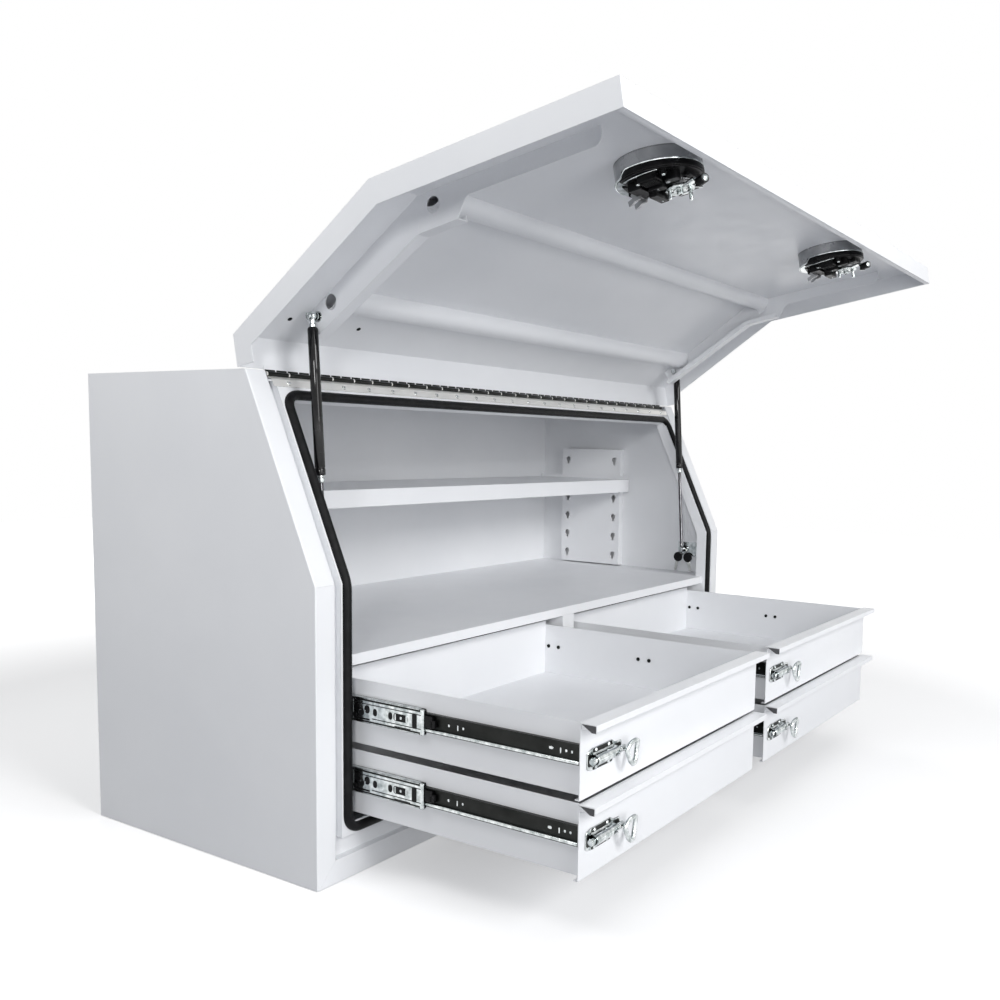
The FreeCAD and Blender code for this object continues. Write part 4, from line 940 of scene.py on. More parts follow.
@dataclass
class BallSlide:
    """Details of one drawer's pair of ball slides: rims, marks, painted shade in the holes and under the
    rims, cage ends and front catch.
    """

    tier: Tier
    side: Side
    low_axis: float = 170.0
    web_x: float = -667.8
    inner_web_x: float = -658.7
    middle_front: float = -455.0
    middle_back: float = -29.0
    inner_front: float = -750.0
    inner_back: float = -270.0
    middle_half: float = 21.0
    inner_half: float = 15.5

    def axis_height(self) -> float:
        """Height of the slide's middle line."""
        return self.low_axis + self.tier.value

    def both(self, points: Array) -> Array:
        """Points of the left slide, moved to the drawer's column."""
        return points + np.array([self.side.column, 0.0, 0.0])

    def mirrored(self, points: Array) -> Array:
        """The same slide on the drawer's right side: X mirrored about the bay's middle."""
        return self.both(points * np.array([-1.0, 1.0, 1.0]) + np.array([-COLUMN_PITCH, 0.0, 0.0]))

    def pad(self, form: Form, y: float, z: float, size: tuple[float, float], radius: float, lift: float,
            x: float) -> None:
        """A flat pad with round corners on a web that faces -X.

        Args:
            form: takes the pad.
            y: its middle along Y.
            z: its middle's height.
            size: its length and height.
            radius: its corners' radius.
            lift: how far it stands out.
            x: the web's place.
        """
        form.slab(rounded(size[0], size[1], radius, 5), (x, y, z), FORWARD, UP, lift, min(0.25, lift / 2.5))

    def bright(self) -> Form:
        """Rolled lower rim of the inner member, in bright zinc as a painted highlight while the upper rim
        stays dark, and its pressed marks.
        """
        z = self.axis_height()
        form = Form()
        length = np.linspace(self.inner_front + 1.0, self.inner_back - 1.0, 25)
        path = np.stack([np.full(25, self.inner_web_x - 2.9), length, np.full(25, z - self.inner_half + 2.9)],
                        axis=1)
        # Painted highlight: only the lower rim is drawn bright.
        form.carried(rounded(6.6, 6.2, 2.9, 6), path, (0.0, 0.0, 1.0))
        for y in (-502.0, -531.0, -724.0, -734.0):
            self.pad(form, y, z + 1.0, (3.6, 4.4), 1.5, 0.5, self.inner_web_x)
        for y in (-520.0, -714.0):
            self.pad(form, y, z, (2.2, 9.0), 1.0, 0.6, self.inner_web_x)
        self.pad(form, -697.0, z + 1.0, (7.5, 4.4), 2.0, 0.5, self.inner_web_x)
        return form

    def middle_bright(self) -> Form:
        """Bright web of the middle member, its rolled rims, its front flange and the bars in the cage."""
        z = self.axis_height()
        form = Form()
        length = np.linspace(self.middle_front + 7.0, self.middle_back - 2.0, 25)
        for height in (z - self.middle_half + 0.9, z + self.middle_half - 0.9):
            path = np.stack([np.full(25, self.web_x + 4.1), length, np.full(25, height)], axis=1)
            form.carried(rounded(8.6, 2.2, 1.0, 4), path, (0.0, 0.0, 1.0))
        self.pad(form, (self.middle_front + self.middle_back) / 2.0, z, (418.0, 33.0), 2.0, 0.3, self.web_x)
        form.slab(rounded(3.0, 2.0 * self.middle_half + 0.6, 1.4, 4),
                  (self.web_x + 1.1, self.middle_front + 5.5, z),
                  RIGHTWARD, UP, 8.0, 0.6)
        bars = ((-397.0, (3.0, 11.0), 1.2), (-421.0, (3.2, 12.0), 1.3), (-409.0, (4.6, 5.0), 2.2),
                (-318.0, (2.8, 2.8), 1.3), (-330.0, (2.8, 2.8), 1.3))
        for y, size, radius in bars:
            self.pad(form, y, z, size, radius, 0.85, self.web_x)
        return form

    def middle_dark(self) -> Form:
        """Painted shade of the middle member's holes and a shade pad by its front flange, painted shadow
        lines under its rims, the ball cage's blocks and the moulded catch.
        """
        z = self.axis_height()
        form = Form()
        # Painted shade: dark pads where the holes are, and one by the front flange.
        hole_shades = ((-312.0, 5.0, (13.0, 12.0), 5.8), (-321.0, -3.0, (13.0, 13.0), 6.2),
                 (-334.0, 3.0, (12.0, 14.0), 5.8), (-306.0, -10.0, (9.0, 9.0), 4.2),
                 (-352.0, 0.0, (9.0, 12.5), 4.4), (-386.0, 0.0, (9.0, 12.5), 4.4),
                 (-408.0, 0.0, (30.0, 12.5), 4.0), (-438.0, 0.0, (10.0, 25.0), 3.0),
                 (-322.0, -14.0, (36.0, 3.0), 1.2))
        for y, dz, size, radius in hole_shades:
            self.pad(form, y, z + dz, size, radius, 0.75, self.web_x)
        # Painted shadow lines under the rims.
        rim_shadows = ((11.5, -452.0, -40.0), (-11.5, -452.0, -345.0), (-15.6, -430.0, -395.0))
        for dz, start, end in rim_shadows:
            self.pad(form, (start + end) / 2.0, z + dz, (end - start, 1.5), 0.6, 0.6, self.web_x)
        form.slab(rounded(7.0, 2.0 * self.middle_half - 3.0, 1.6, 4),
                  (self.web_x + 5.0, self.middle_front + 1.5, z),
                  RIGHTWARD, UP, 3.0, 0.6)
        form.slab(rounded(6.0, 20.0, 1.5, 4), (self.inner_web_x - 4.1, self.middle_front - 0.5, z + 1.6),
                  RIGHTWARD, UP, 17.0, 0.6)
        form.slab(rounded(6.0, 13.0, 1.5, 4), (self.inner_web_x - 4.1, self.middle_front - 15.0, z - 0.8),
                  RIGHTWARD, UP, 8.0, 0.6)
        return form

    def build(self) -> None:
        """Makes each set of details on both slides of the drawer."""
        tag = f"_{self.tier.word}_{self.side.word}"
        for label, placed in (("near", self.both), ("far", self.mirrored)):
            self.bright().build(f"slide_rims_inner_{label}{tag}", "bright_zinc", "drawer" + tag, placed)
            self.middle_bright().build(f"slide_rims_middle_{label}{tag}", "bright_zinc", "slide_middle" + tag,
                                       placed)
            self.middle_dark().build(f"slide_cage_{label}{tag}", "lock_plastic", "slide_middle" + tag, placed)


@dataclass
class LidLock:
    """One lid lock seen from inside: rim of the cup, moulded case, drum, claws, boss, strap and roller."""

    side: Side
    left_x: float = -458.0
    right_x: float = 330.0
    dish_z: float = 191.0
    dish_radius: float = 68.0
    floor_y: float = -318.0
    spindle_dx: float = 10.0
    spindle_drop: float = 27.0
    case_depth: float = 17.0
    disc_radius: float = 23.5
    disc_gap: float = 0.3
    disc_depth: float = 3.7
    post_place: float = 18.5
    rest_turn: float = 33.0
    roller_setback: float = 10.0
    collar: float = 9.0
    base_cut: float = 42.0
    gasket_half: float = 2.15
    screws: tuple[tuple[float, float], ...] = ((-50.0, 44.0), (30.0, 58.0), (-58.0, -4.0), (34.0, 6.0))

    def centre(self) -> tuple[float, float]:
        """The dish's middle in X and the spindle's height."""
        return (self.left_x if self.side is Side.LEFT else self.right_x), self.dish_z - self.spindle_drop

    def round_cup(self, radius: float, start: float, end: float, count: int, depth: Array | float) -> Array:
        """Points on a circle about the cup's axis: sine across, cosine down.

        Args:
            radius: the circle's radius.
            start: the first angle, from straight down.
            end: the last angle.
            count: how many points.
            depth: distance from the cup's floor, for all or for each.

        Returns:
            An array of (count, 3).
        """
        x, _ = self.centre()
        angle = np.linspace(start, end, count)
        y = np.broadcast_to(self.floor_y + np.asarray(depth, float), angle.shape)
        return np.stack([x + radius * np.sin(angle), y, self.dish_z - radius * np.cos(angle)], axis=1)

    def rim(self) -> Form:
        """A rolled bead round the cup, lifted by a smooth step where the gasket covers the wall."""
        form = Form()
        angle = np.linspace(-TURN / 2.0, TURN / 2.0, 97)[:-1]
        share = np.clip((self.gasket_half - np.abs(angle)) / 0.25, 0.0, 1.0)
        depth = -self.collar * share * share * (3.0 - 2.0 * share)
        path = self.round_cup(self.dish_radius + 0.4, -TURN / 2.0, TURN / 2.0, 97,
                              np.append(depth, depth[0]))[:-1]
        form.carried(1.5 * ring(8), path, (0.0, 1.0, 0.0), closed=True)
        return form

    def case(self) -> Form:
        """Dark moulded case: gasket round the cup, base over its floor, blocks, fins and screw seats."""
        x, z = self.centre()
        cx = x + self.spindle_dx
        form = Form()
        r = self.dish_radius
        half = self.gasket_half - 0.1
        path = self.round_cup(r, -half, half, 61, (1.2 - self.collar) / 2.0)
        form.carried(rounded(2.6, self.collar + 1.0, 0.9, 4), path, (0.0, 1.0, 0.0))
        base = (r - 1.0) * ring(72)
        base[:, 1] = np.maximum(base[:, 1], -self.base_cut)
        form.slab(base, (x, self.floor_y - 0.1, self.dish_z), RIGHTWARD, DOWN, 3.0, 0.6)
        wedge = np.array([(-30, -50), (16, -60), (24, -44), (-20, -38)], float)
        form.slab(wedge, (x, self.floor_y - 0.1, self.dish_z), RIGHTWARD, DOWN, 3.6, 0.5)
        blocks = ((-28, 25, 40, 15, 27.0), (-48, 42, 50, 22, 16.0), (-64, 6, 22, 32, 14.0),
                  (-40, 8, 16, 26, 21.0), (14, 26, 26, 28, 13.0), (-44, -18, 16, 22, 15.5),
                  (27, -12, 20, 24, 10.0), (-20, 66, 28, 13, 12.0), (-24, -30, 40, 8, 10.0),
                  (-8, 42, 18, 12, 16.6), (38, 8, 14, 16, 12.0), (10, 4, 18, 26, 11.0))
        for left, foot, width, height, depth in blocks:
            form.slab(rounded(width, height, 1.8, 3),
                      (cx + left + width / 2.0, self.floor_y + 2.5, z + foot + height / 2.0),
                      RIGHTWARD, DOWN, depth - 2.5, 0.8)
        for step in range(5):
            form.slab(rounded(1.8, 26.0, 0.6, 3), (cx - 62.0 + 4.4 * step, self.floor_y + 13.0, z + 21.0),
                      RIGHTWARD, DOWN, 4.0, 0.4)
        for dx, dz in self.screws:
            form.turned(np.array([(0, 0), (4.6, 0), (4.6, 8.0), (3.8, 8.8), (0, 8.8)]),
                        (cx + dx, self.floor_y + 2.0, z + dz), (0, 1, 0), 20)
        return form

    def drum(self) -> Form:
        """Satin steel drum round the spindle, with a groove and a stop pin beside it."""
        x, z = self.centre()
        cx = x + self.spindle_dx
        form = Form()
        profile = [(7.6, 2.0), (21.0, 2.0), (21.0, 9.0), (20.2, 9.8), (20.2, 10.8), (21.0, 11.6),
                   (21.0, 15.6), (20.0, 16.8), (7.6, 16.8), (7.6, 2.0)]
        form.turned(np.array(profile), (cx, self.floor_y, z), (0, 1, 0), 48)
        form.turned(np.array([(0, 2.0), (4.2, 2.0), (4.2, 15.2), (3.4, 16.0), (0, 16.0)]),
                    (cx - 34.0, self.floor_y, z + 2.0), (0, 1, 0), 20)
        return form

    def metal(self) -> Form:
        """Zinc parts that stay with the lid: screws, the bare sliver of the cup's floor, a bent strap, and
        small tabs on the case's blocks as painted highlights.
        """
        x, z = self.centre()
        cx = x + self.spindle_dx
        form = Form()
        for dx, dz in self.screws:
            form.dome((cx + dx, self.floor_y + 10.8, z + dz), (0, 1, 0), 3.4, 1.8)
        r = self.dish_radius - 1.2
        edge = math.acos(self.base_cut / r)
        arc = np.linspace(-edge, edge, 17)
        sliver = np.stack([r * np.sin(arc), -r * np.cos(arc)], axis=1)
        form.slab(sliver, (x, self.floor_y - 0.1, self.dish_z), RIGHTWARD, DOWN, 1.6, 0.4)
        strap = self.round_cup(59.0, -2.25, -1.15, 24, 3.0 + 2.0 * np.sin(np.linspace(0.0, TURN / 2.0, 24)))
        form.carried(rounded(5.0, 1.8, 0.6, 3), strap, (0.0, 1.0, 0.0))
        # Painted highlights: small zinc tabs on the dark blocks' edges.
        glint_tabs = ((-6.0, 50.0, 18.6), (-52.0, 18.0, 14.2), (24.0, 40.0, 13.2), (-33.0, 20.0, 21.2),
                (2.0, 32.0, 27.2))
        for dx, dz, lift in glint_tabs:
            form.slab(rounded(5.0, 2.4, 1.0, 3), (cx + dx, self.floor_y + lift - 0.3, z + dz), RIGHTWARD,
                      DOWN, 0.8, 0.2)
        return form

    def claws(self) -> Form:
        """Two jagged steel catches that stand out of the case at its hinge end, and the pin between them."""
        x, z = self.centre()
        cx = x + self.spindle_dx
        form = Form()
        claw = np.array([(0, 0), (-12, 0), (-16, 5), (-14, 10), (-22, 13), (-21, 21), (-15, 20), (-10, 16),
                         (0, 15), (2, 7)], float)
        for dx in (-22.0, -2.0):
            form.slab(claw, (cx + dx, self.floor_y + 7.0, z + 58.0), (0, 0, -1), (0, 1, 0), 3.2, 0.4)
        form.turned(np.array([(0, 0), (2.6, 0), (2.6, 24.0), (0, 24.0)]),
                    (cx - 22.0, self.floor_y + 14.0, z + 62.0), (1, 0, 0), 16)
        return form

    def cam_metal(self) -> Form:
        """Boss disc with a slot, two posts, the nose and the L-strap down to the roller's pin."""
        x, z = self.centre()
        cx = x + self.spindle_dx
        y0 = self.floor_y + self.case_depth + self.disc_gap
        y1 = y0 + self.disc_depth
        form = Form()
        disc = [(0, 0), (self.disc_radius - 0.6, 0), (self.disc_radius, 0.7), (self.disc_radius, 2.6),
                (self.disc_radius - 1.2, 3.7),
                (16.4, 3.7), (15.6, 2.9), (10.6, 2.9), (10.0, 3.7), (0, 3.7)]
        form.turned(np.array(disc, float), (cx, y0, z), (0, 1, 0), 56)
        form.turned(np.array([(0, 0), (5.4, 0), (5.4, 5.6), (4.4, 6.6), (0, 6.6)]), (cx, y1 - 0.2, z),
                    (0, 1, 0), 24)
        for sign in (-1.0, 1.0):
            form.turned(np.array([(0, 0), (4.4, 0), (4.4, 0.8), (3.0, 1.2), (3.0, 13.4), (2.4, 14.0),
                                  (0, 14.0)]),
                        (cx + sign * self.post_place, y1 - 0.1, z), (0, 1, 0), 16)
        strap = np.array([(cx, y1 - 1.4, z - 12.0), (cx, y1 - 1.4, z - 40.0), (cx, y1 - 1.2, z - 48.5),
                          (cx, y1 + 0.4, z - 51.8),
                          (cx, y1 + 3.6, z - 52.6), (cx, y1 + 14.0, z - 52.6)])
        form.carried(rounded(14.0, 2.8, 0.8, 3), strap, (0.0, 1.0, -0.02))
        roller_y = FRONT + self.roller_setback
        form.turned(np.array([(0, 0), (2.6, 0), (2.6, 22.4), (4.4, 22.5), (4.9, 22.9), (4.4, 23.3),
                              (0, 23.4)]),
                    (cx, roller_y, z - 50.6), (0, 0, -1), 24)
        return form

    def cam_dark(self) -> Form:
        """The roller's black sleeve, a dark bar as painted shade of the slot in the boss, and four dark pads
        in the disc's groove.
        """
        x, z = self.centre()
        cx = x + self.spindle_dx
        y1 = self.floor_y + self.case_depth + self.disc_gap + self.disc_depth
        form = Form()
        sleeve = [(2.7, 0), (6.4, 0), (7.2, 0.8), (7.2, 17.8), (6.4, 18.6), (2.7, 18.6), (2.7, 0)]
        form.turned(np.array(sleeve, float), (cx, FRONT + self.roller_setback, z - 54.4), (0, 0, -1), 32)
        # Painted shade of the boss's slot.
        form.slab(rounded(3.0, 8.6, 0.8, 3), (cx, y1 + 6.0, z), RIGHTWARD, DOWN, 0.8, 0.15)
        for angle in (0.6, 2.2, 4.1, 5.4):
            form.slab(rounded(5.0, 3.4, 1.2, 3),
                      (cx + 13.2 * math.cos(angle), y1 - 0.9, z + 13.2 * math.sin(angle)), RIGHTWARD, DOWN,
                      0.5, 0.1)
        return form

    def build(self) -> None:
        """Makes the fixed parts on the lid and the turning parts on the lock's body."""
        word = self.side.word
        x, z = self.centre()
        cx = x + self.spindle_dx

        def turned_open(points: Array) -> Array:
            """Turns the lock to its rest angle and opens the lid."""
            return lid_open(spun(points, cx, z, self.rest_turn))

        self.rim().build("lock_cup_rim_" + word, "bright_zinc", "lid", lid_open)
        self.metal().build("lock_strap_" + word, "bright_zinc", "lid", lid_open)
        self.claws().build("lock_claws_" + word, "dish_steel", "lid", lid_open)
        self.drum().build("lock_drum_" + word, "dish_steel", "lid", lid_open)
        self.cam_metal().build("lock_boss_" + word, "bright_zinc", "lock_" + word, turned_open,
                               ("lock_cam_" + word,))
        self.cam_dark().build("lock_roller_" + word, "lock_plastic", "lock_" + word, turned_open)


@dataclass
class GasStrut:
    """One gas strut: gloss cylinder with crimped gland, ground rod, ball sockets with clips."""

    side: Side
    x: float = 658.0
    foot_y: float = -232.0
    foot_z: float = 452.0
    lean: float = 3.744
    reach: float = 491.04
    tube_start: float = 225.0
    tube_end: float = 473.0
    tube_radius: float = 8.8

    def axis(self) -> Array:
        """Unit direction from the lower to the upper ball."""
        return np.array([0.0, math.sin(math.radians(self.lean)), math.cos(math.radians(self.lean))])

    def along(self, distance: float) -> tuple[float, ...]:
        """A point on the strut's axis."""
        foot = np.array([self.side.value * self.x, self.foot_y, self.foot_z])
        return tuple(foot + distance * self.axis())

    def cylinder(self) -> Form:
        """Black tube with round shoulders and a rolled groove above the gland."""
        r = self.tube_radius
        length = self.tube_end - self.tube_start
        profile = [(4.3, 0.0), (r - 2.2, 0.0), (r - 0.9, 0.5), (r, 1.8), (r, 11.0), (r - 0.8, 12.2),
                   (r - 0.8, 13.2), (r, 14.4),
                   (r, length - 5.0), (r - 0.8, length - 2.4), (r - 2.8, length - 0.6), (r - 4.6, length),
                   (0.0, length)]
        bore = [(0.0, 40.0), (4.3, 40.0)]
        form = Form()
        form.turned(np.array(bore + profile, float), self.along(self.tube_start), tuple(self.axis()), 48)
        return form

    def top(self) -> Form:
        """Chrome neck, ball socket with its spring clip, and the ball's stud into the lid's web."""
        form = Form()
        axis = tuple(self.axis())
        neck = self.reach - self.tube_end
        form.turned(np.array([(0, -0.5), (5.6, -0.5), (5.6, 4.0), (4.6, 5.2), (4.6, neck - 4.0),
                              (0, neck - 4.0)]), self.along(self.tube_end), axis, 32)
        angle = np.linspace(-TURN / 4.0, TURN / 4.0, 15)
        socket = np.stack([7.2 * np.cos(angle), 7.6 * np.sin(angle)], axis=1)
        form.turned(socket, self.along(self.reach), axis, 32)
        inward = (-self.side.value, 0.0, 0.0)
        form.turned(np.array([(0, 0), (4.1, 0), (4.1, 7.0), (6.6, 7.2), (6.6, 9.6), (4.0, 9.8), (4.0, 11.2),
                              (0, 11.2)]), self.along(self.reach), inward, 24)
        outward = (self.side.value, 0.0, 0.0)
        form.turned(np.array([(0, 4), (5.0, 4), (5.0, 7.6), (4.0, 8.4), (2.0, 8.4), (1.6, 7.4), (0, 7.4)]),
                    self.along(self.reach), outward, 24)
        clip = np.linspace(0.15 * TURN, 0.85 * TURN, 22)
        centre = np.array(self.along(self.reach))
        path = centre + np.stack([np.full(22, self.side.value * 5.6), 8.2 * np.sin(clip), 8.2 * np.cos(clip)],
                                 axis=1)
        form.carried(0.9 * ring(8), path, (1.0, 0.0, 0.0))
        return form

    def gland(self) -> Form:
        """Chrome collar where the rod enters the cylinder."""
        form = Form()
        form.turned(np.array([(4.2, 0.0), (5.8, 0.0), (6.4, 0.8), (6.4, 8.0), (5.6, 9.0), (5.6, 12.5),
                              (4.2, 12.5), (4.2, 0.0)]),
                    self.along(self.tube_start - 12.0), tuple(self.axis()), 32)
        return form

    def rod(self) -> Form:
        """Ground rod with its lower end fitting and a flat-sided eye."""
        form = Form()
        axis = tuple(self.axis())
        form.turned(np.array([(0, 6.0), (4.8, 6.0), (4.8, 20.0), (4.0, 21.5), (4.0, 278.0), (3.0, 279.5),
                              (0, 279.5)]), self.along(0.0), axis, 32)
        start = np.array(self.along(0.0)) - np.array([5.0, 0.0, 0.0])
        form.turned(np.array([(4.1, 0.0), (7.2, 0.0), (8.0, 0.9), (8.0, 9.1), (7.2, 10.0), (4.1, 10.0),
                              (4.1, 0.0)]), tuple(start), (1, 0, 0), 36)
        return form

    def build(self) -> None:
        """Makes the strut's pieces."""
        word = self.side.word
        self.cylinder().build("strut_tube_gloss_" + word, "strut_black", "strut_cylinder_" + word,
                              stands_for=("strut_cylinder_" + word,))
        self.top().build("strut_socket_" + word, "bright_zinc", "strut_cylinder_" + word)
        self.gland().build("strut_gland_" + word, "bright_zinc", "strut_cylinder_" + word)
        self.rod().build("strut_rod_ground_" + word, "rod_chrome", "strut_rod_" + word,
                         stands_for=("strut_rod_" + word,))


@dataclass
class KeyPair:
    """Split ring and two keys with moulded heads on the right strut's pin."""

    x: float = 666.5
    y: float = -232.0
    ring_z: float = 447.1
    ring_radius: float = 10.0
    splay: float = 13.0
    spread: float = 13.4
    hang_drop: float = 7.5

    def turned_key(self, side: float) -> Callable[[Array], Array]:
        """Hangs a key on one side of the ring, turned outwards by the splay.

        Args:
            side: -1 for the front key, 1 for the back key.

        Returns:
            A function that places points.
        """
        angle, x, middle = side * self.splay, self.x + 1.6 * side, self.y + side * self.spread
        hang_z = self.ring_z - self.hang_drop
        cos_turn, sin_turn = math.cos(math.radians(angle)), math.sin(math.radians(angle))

        def placed(points: Array) -> Array:
            """Swings the hanging key about the ring."""
            y, z = points[:, 1], points[:, 2]
            return np.stack([points[:, 0] + x, middle + cos_turn * y - sin_turn * z,
                             hang_z + sin_turn * y + cos_turn * z], axis=1)

        return placed

    def head(self) -> Form:
        """Moulded head: a fat lens with a raised border."""
        form = Form()
        form.turned(np.array([(0, -1.8), (9.6, -1.8), (11.4, -2.2), (12.9, -1.5), (13.4, 0.0), (12.9, 1.5),
                              (11.4, 2.2), (9.6, 1.8), (0, 1.8)]),
                    (0.0, 0.0, -11.0), (1, 0, 0), 44)
        return form

    def blade(self) -> Form:
        """Cut blade with a milled groove side and a notched edge."""
        form = Form()
        steps = np.array([(-4.4, -22.0), (-4.4, -47.0), (-1.2, -50.6), (1.6, -49.4), (3.4, -46.6),
                          (2.2, -44.4), (3.8, -42.4), (2.0, -40.0), (4.2, -37.4),
                          (2.8, -34.6), (4.6, -32.4), (4.6, -22.0)], float)
        form.slab(steps, (-0.9, 0.0, 0.0), (0, 1, 0), (0, 0, 1), 1.8, 0.25)
        return form

    def build(self) -> None:
        """Makes the ring, the heads and the blades."""
        angle = np.linspace(0.0, 2.0 * TURN, 97)
        coil = np.stack([self.x + 0.8 * (angle / TURN - 1.0), self.y + self.ring_radius * np.sin(angle),
                         self.ring_z + self.ring_radius * np.cos(angle)], axis=1)
        loop = Form()
        loop.carried(0.62 * ring(8), coil, (1.0, 0.0, 0.0))
        loop.build("key_ring_split", "key_steel", "cabinet", stands_for=("keys",))
        for label, side in (("front", -1.0), ("back", 1.0)):
            self.head().build("key_head_" + label, "lock_plastic", "cabinet", self.turned_key(side))
            self.blade().build("key_blade_" + label, "key_steel", "cabinet", self.turned_key(side))


@dataclass
class PianoHinge:
    """Knuckles and sleeves in dark zinc and dark dashes at the joints, as painted shade and painted
    reflection of the knuckle row, and the coated flap of the lid's leaf.
    """

    half_length: float = 699.0
    knuckle_count: int = 28
    barrel: float = 4.0
    bore: float = 2.0
    gap: float = 0.3
    reach: float = 15.6
    sheet: float = 1.25

    def knuckle(self, form: Form, index: int, outer: float, inner: float, trim: float) -> None:
        """One tube of the barrel: a ring profile with broken edges carried round the pin's axis.

        Args:
            form: takes the tube.
            index: its number from the left.
            outer: its outer radius.
            inner: its inner radius.
            trim: how much shorter it is at each end.
        """
        pitch = 2.0 * self.half_length / self.knuckle_count
        length = pitch - self.gap - 2.0 * trim
        start = -self.half_length + index * pitch + self.gap / 2.0 + trim
        profile = [(inner, 0.0), (outer - 0.1, 0.0), (outer, 0.3), (outer, length - 0.3),
                   (outer - 0.1, length), (inner, length), (inner, 0.0)]
        form.turned(np.array(profile), (start, HINGE_Y, HINGE_Z), (1, 0, 0), 16)

    def flap(self) -> Form:
        """The lid's leaf, coated with the lid."""
        form = Form()
        top = HINGE_Z + self.barrel
        middle = HINGE_Y - self.reach / 2.0
        form.slab(rounded(2.0 * self.half_length, self.reach, 0.8, 3), (0.0, middle, top), (1, 0, 0),
                  (0, -1, 0), self.sheet, 0.2)
        return form

    def joints(self) -> Form:
        """Dark dashes along the flap where it bends into the knuckles: painted shade."""
        form = Form()
        pitch = self.half_length / self.knuckle_count
        below = HINGE_Z + self.barrel - self.sheet + 0.05
        for x in -self.half_length + (np.arange(2 * self.knuckle_count) + 0.5) * pitch:
            form.slab(rounded(pitch - 2.4, 3.4, 1.2, 3), (x, HINGE_Y - self.barrel - 2.2, below), (1, 0, 0),
                      (0, -1, 0), 0.3, 0.1)
        return form

    def build(self) -> None:
        """Makes the flap, the lid's knuckles in dark zinc and the dark sleeves on the cabinet's knuckles, as
        painted shade and painted reflection of the knuckle row.
        """
        turning = Form()
        sleeves = Form()
        # Painted shade and painted reflection: the lid's knuckles and the sleeves over the cabinet's knuckles
        # are dark.
        for index in range(self.knuckle_count):
            if index % 2:
                self.knuckle(turning, index, self.barrel, self.bore, 0.0)
            else:
                self.knuckle(sleeves, index, self.barrel + 0.12, self.barrel - 0.3, 2.6)
        turning.join(self.joints())
        self.flap().build("hinge_flap", "white_coat", "lid", lid_open, ("hinge_leaf_lid",))
        turning.build("hinge_knuckles_lid", "slide_zinc", "lid", lid_open)
        sleeves.build("hinge_knuckles_cabinet", "slide_zinc", "cabinet")


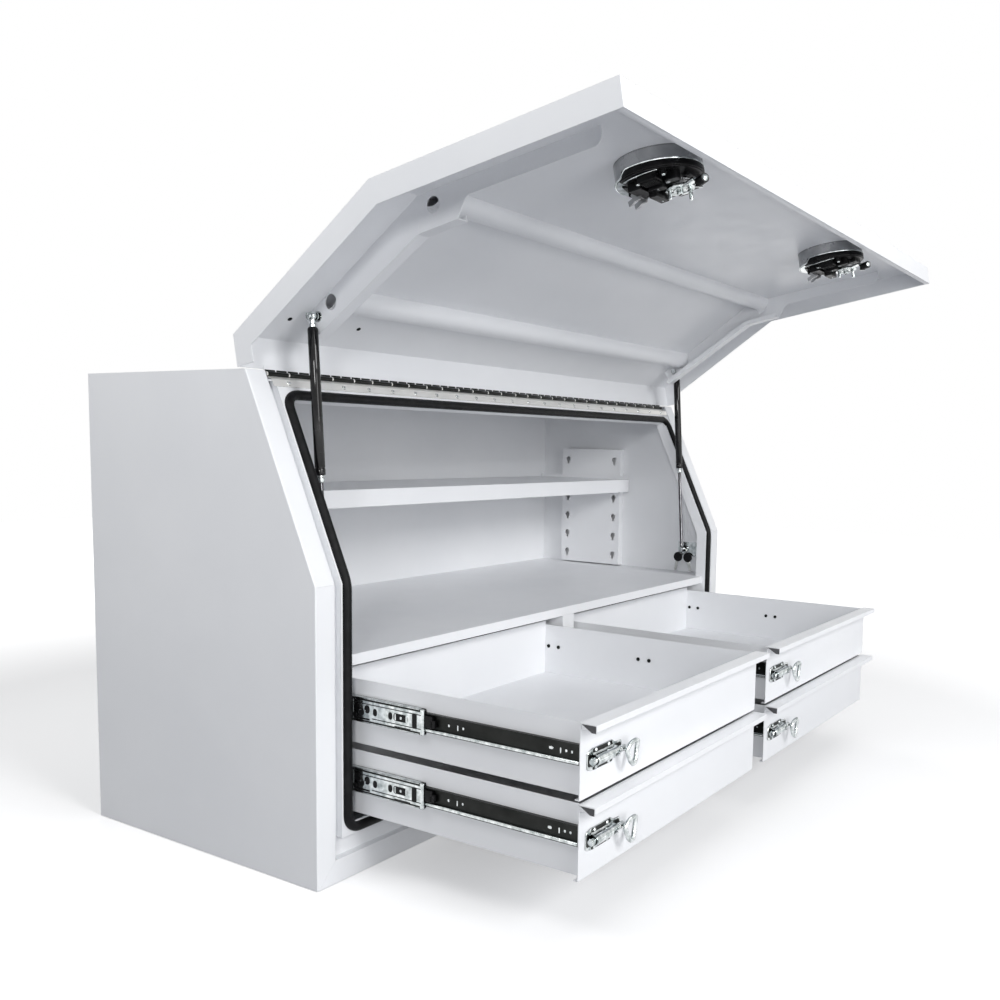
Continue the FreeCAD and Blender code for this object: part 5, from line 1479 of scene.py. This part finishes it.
@dataclass
class SheetWork:
    """Small marks of the sheet metal: rivet heads, weld beads, plugs, the lid's hem, and painted shade on the
    lips' ends.
    """

    rivet_pitch: float = 63.3
    rivet_count: int = 22
    rivet_height: float = 830.0
    bead_width: float = 1.5
    band_edge: float = 745.0
    frame_edge: float = 708.0
    knee_lean: float = 0.216
    lip_x: float = -665.0

    def rivets(self) -> Form:
        """Domed rivets on the hinge leaf, in a row along X."""
        form = Form()
        normal = np.array([0.0, -math.sin(SLOPE), math.cos(SLOPE)])
        y = FRONT + (self.rivet_height - KNEE) / math.tan(SLOPE)
        for x in (np.arange(self.rivet_count) - (self.rivet_count - 1) / 2.0) * self.rivet_pitch:
            centre = np.array([x, y, self.rivet_height]) + 1.2 * normal
            form.dome(tuple(centre), tuple(normal), 4.1, 1.75)
        return form

    def bead(self, form: Form, start: tuple[float, ...], end: tuple[float, ...],
             normal: tuple[float, ...]) -> None:
        """A low weld bead: a flat half ellipse carried along a line whose height wanders by a sine.

        Args:
            form: takes the bead.
            start: where it starts.
            end: where it ends.
            normal: unit direction out of the sheet.
        """
        share = np.linspace(0.0, 1.0, 41)[:, None]
        path = np.array(start) + share * (np.array(end) - np.array(start))
        path = path + 0.04 * np.sin(share * 57.0) * np.array(normal)
        angle = np.linspace(0.0, TURN / 2.0, 7)
        profile = np.stack([self.bead_width / 2.0 * np.cos(angle), 0.28 * np.sin(angle)], axis=1)
        profile = np.vstack([profile, [-self.bead_width / 2.0, -0.4], [self.bead_width / 2.0, -0.4]])
        form.carried(profile, path, normal)

    def cabinet_beads(self) -> Form:
        """Mitre welds at the two lower corners of the frame and across the knee of both bands."""
        form = Form()
        for sign in (-1.0, 1.0):
            self.bead(form, (sign * self.band_edge, FRONT, 2.0), (sign * 707.6, FRONT, 39.6),
                      (0.0, -1.0, 0.0))
            across = [(sign * edge, FRONT, KNEE) for edge in (self.band_edge, self.frame_edge)]
            self.bead(form, *across, (0.0, -math.cos(self.knee_lean), math.sin(self.knee_lean)))
        return form

    def lid_beads(self) -> Form:
        """A seam on the web of the left stiffener at the lower bend."""
        form = Form()
        self.bead(form, (-645.0, LID_SKIN_Y + 36.0, 517.0), (-645.0, LID_SKIN_Y + 56.0, 523.0),
                  (-1.0, 0.0, 0.0))
        return form

    def plugs(self) -> Form:
        """Two small plugs that close holes in the lid's sloped skin, seen from inside."""
        form = Form()
        inward = (0.0, math.sin(SLOPE), -math.cos(SLOPE))
        for x in (-673.0, -514.7):
            form.dome((x, -216.5, 798.2), inward, 4.2, 1.8)
        return form

    def hem(self) -> Form:
        """The turned-up rim along the inner edge of the lid's bottom fold."""
        form = Form()
        path = np.stack([np.linspace(-747.6, 747.6, 9), np.full(9, -310.9), np.full(9, 90.8)], axis=1)
        form.carried(rounded(9.6, 1.7, 0.6, 3), path, (0.0, 1.0, 0.0))
        return form

    def lip_end_shade(self, tier: Tier, side: Side) -> Form:
        """Painted shade on the end of a drawer's finger lip, seen from its left: a dark plate where the
        hollow under the lip lies in shade.

        Args:
            tier: the drawer's row.
            side: the drawer's column.

        Returns:
            The form.
        """
        form = Form()
        outline = np.array([(753.6, 217.4), (771.0, 206.8), (778.2, 206.8), (778.2, 217.4)])
        form.slab(outline, (self.lip_x + side.column + 0.1, 0.0, tier.value), FORWARD, UP, 0.6, 0.15)
        return form

    def build(self) -> None:
        """Makes the marks."""
        self.hem().build("lid_hem", "white_coat", "lid", lid_open)
        for tier in Tier:
            for side in Side:
                tag = f"_{tier.word}_{side.word}"
                # Painted shade on the ends of the finger lips.
                self.lip_end_shade(tier, side).build("lip_end_shade" + tag, "painted_shade_coat", "drawer" + tag)
        self.rivets().build("hinge_rivets", "bright_zinc", "cabinet")
        self.cabinet_beads().build("frame_weld_beads", "white_coat", "cabinet")
        self.lid_beads().build("lid_weld_beads", "white_coat", "lid", lid_open)
        self.plugs().build("lid_plugs", "lock_plastic", "lid", lid_open)


def main() -> None:
    """Builds the studio, the finishes and the detailed pieces."""
    logging.basicConfig(level=logging.INFO, format="%(name)s: %(message)s")
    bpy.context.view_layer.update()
    Studio().build()
    Dressing().build()
    log.info("dressed %d nodes", len(frame["nodes"]))
    DoorSeal().build()
    for tier in Tier:
        for side in Side:
            DrawerLatch(tier, side).build()
            BallSlide(tier, side).build()
    cases = Form()
    for side in Side:
        lock = LidLock(side)
        lock.build()
        cases.join(lock.case())
        GasStrut(side).build()
    cases.build("lock_cases", "lock_plastic", "lid", lid_open, ("lock_housings",))
    KeyPair().build()
    PianoHinge().build()
    SheetWork().build()


if __name__ == "__main__":
    main()
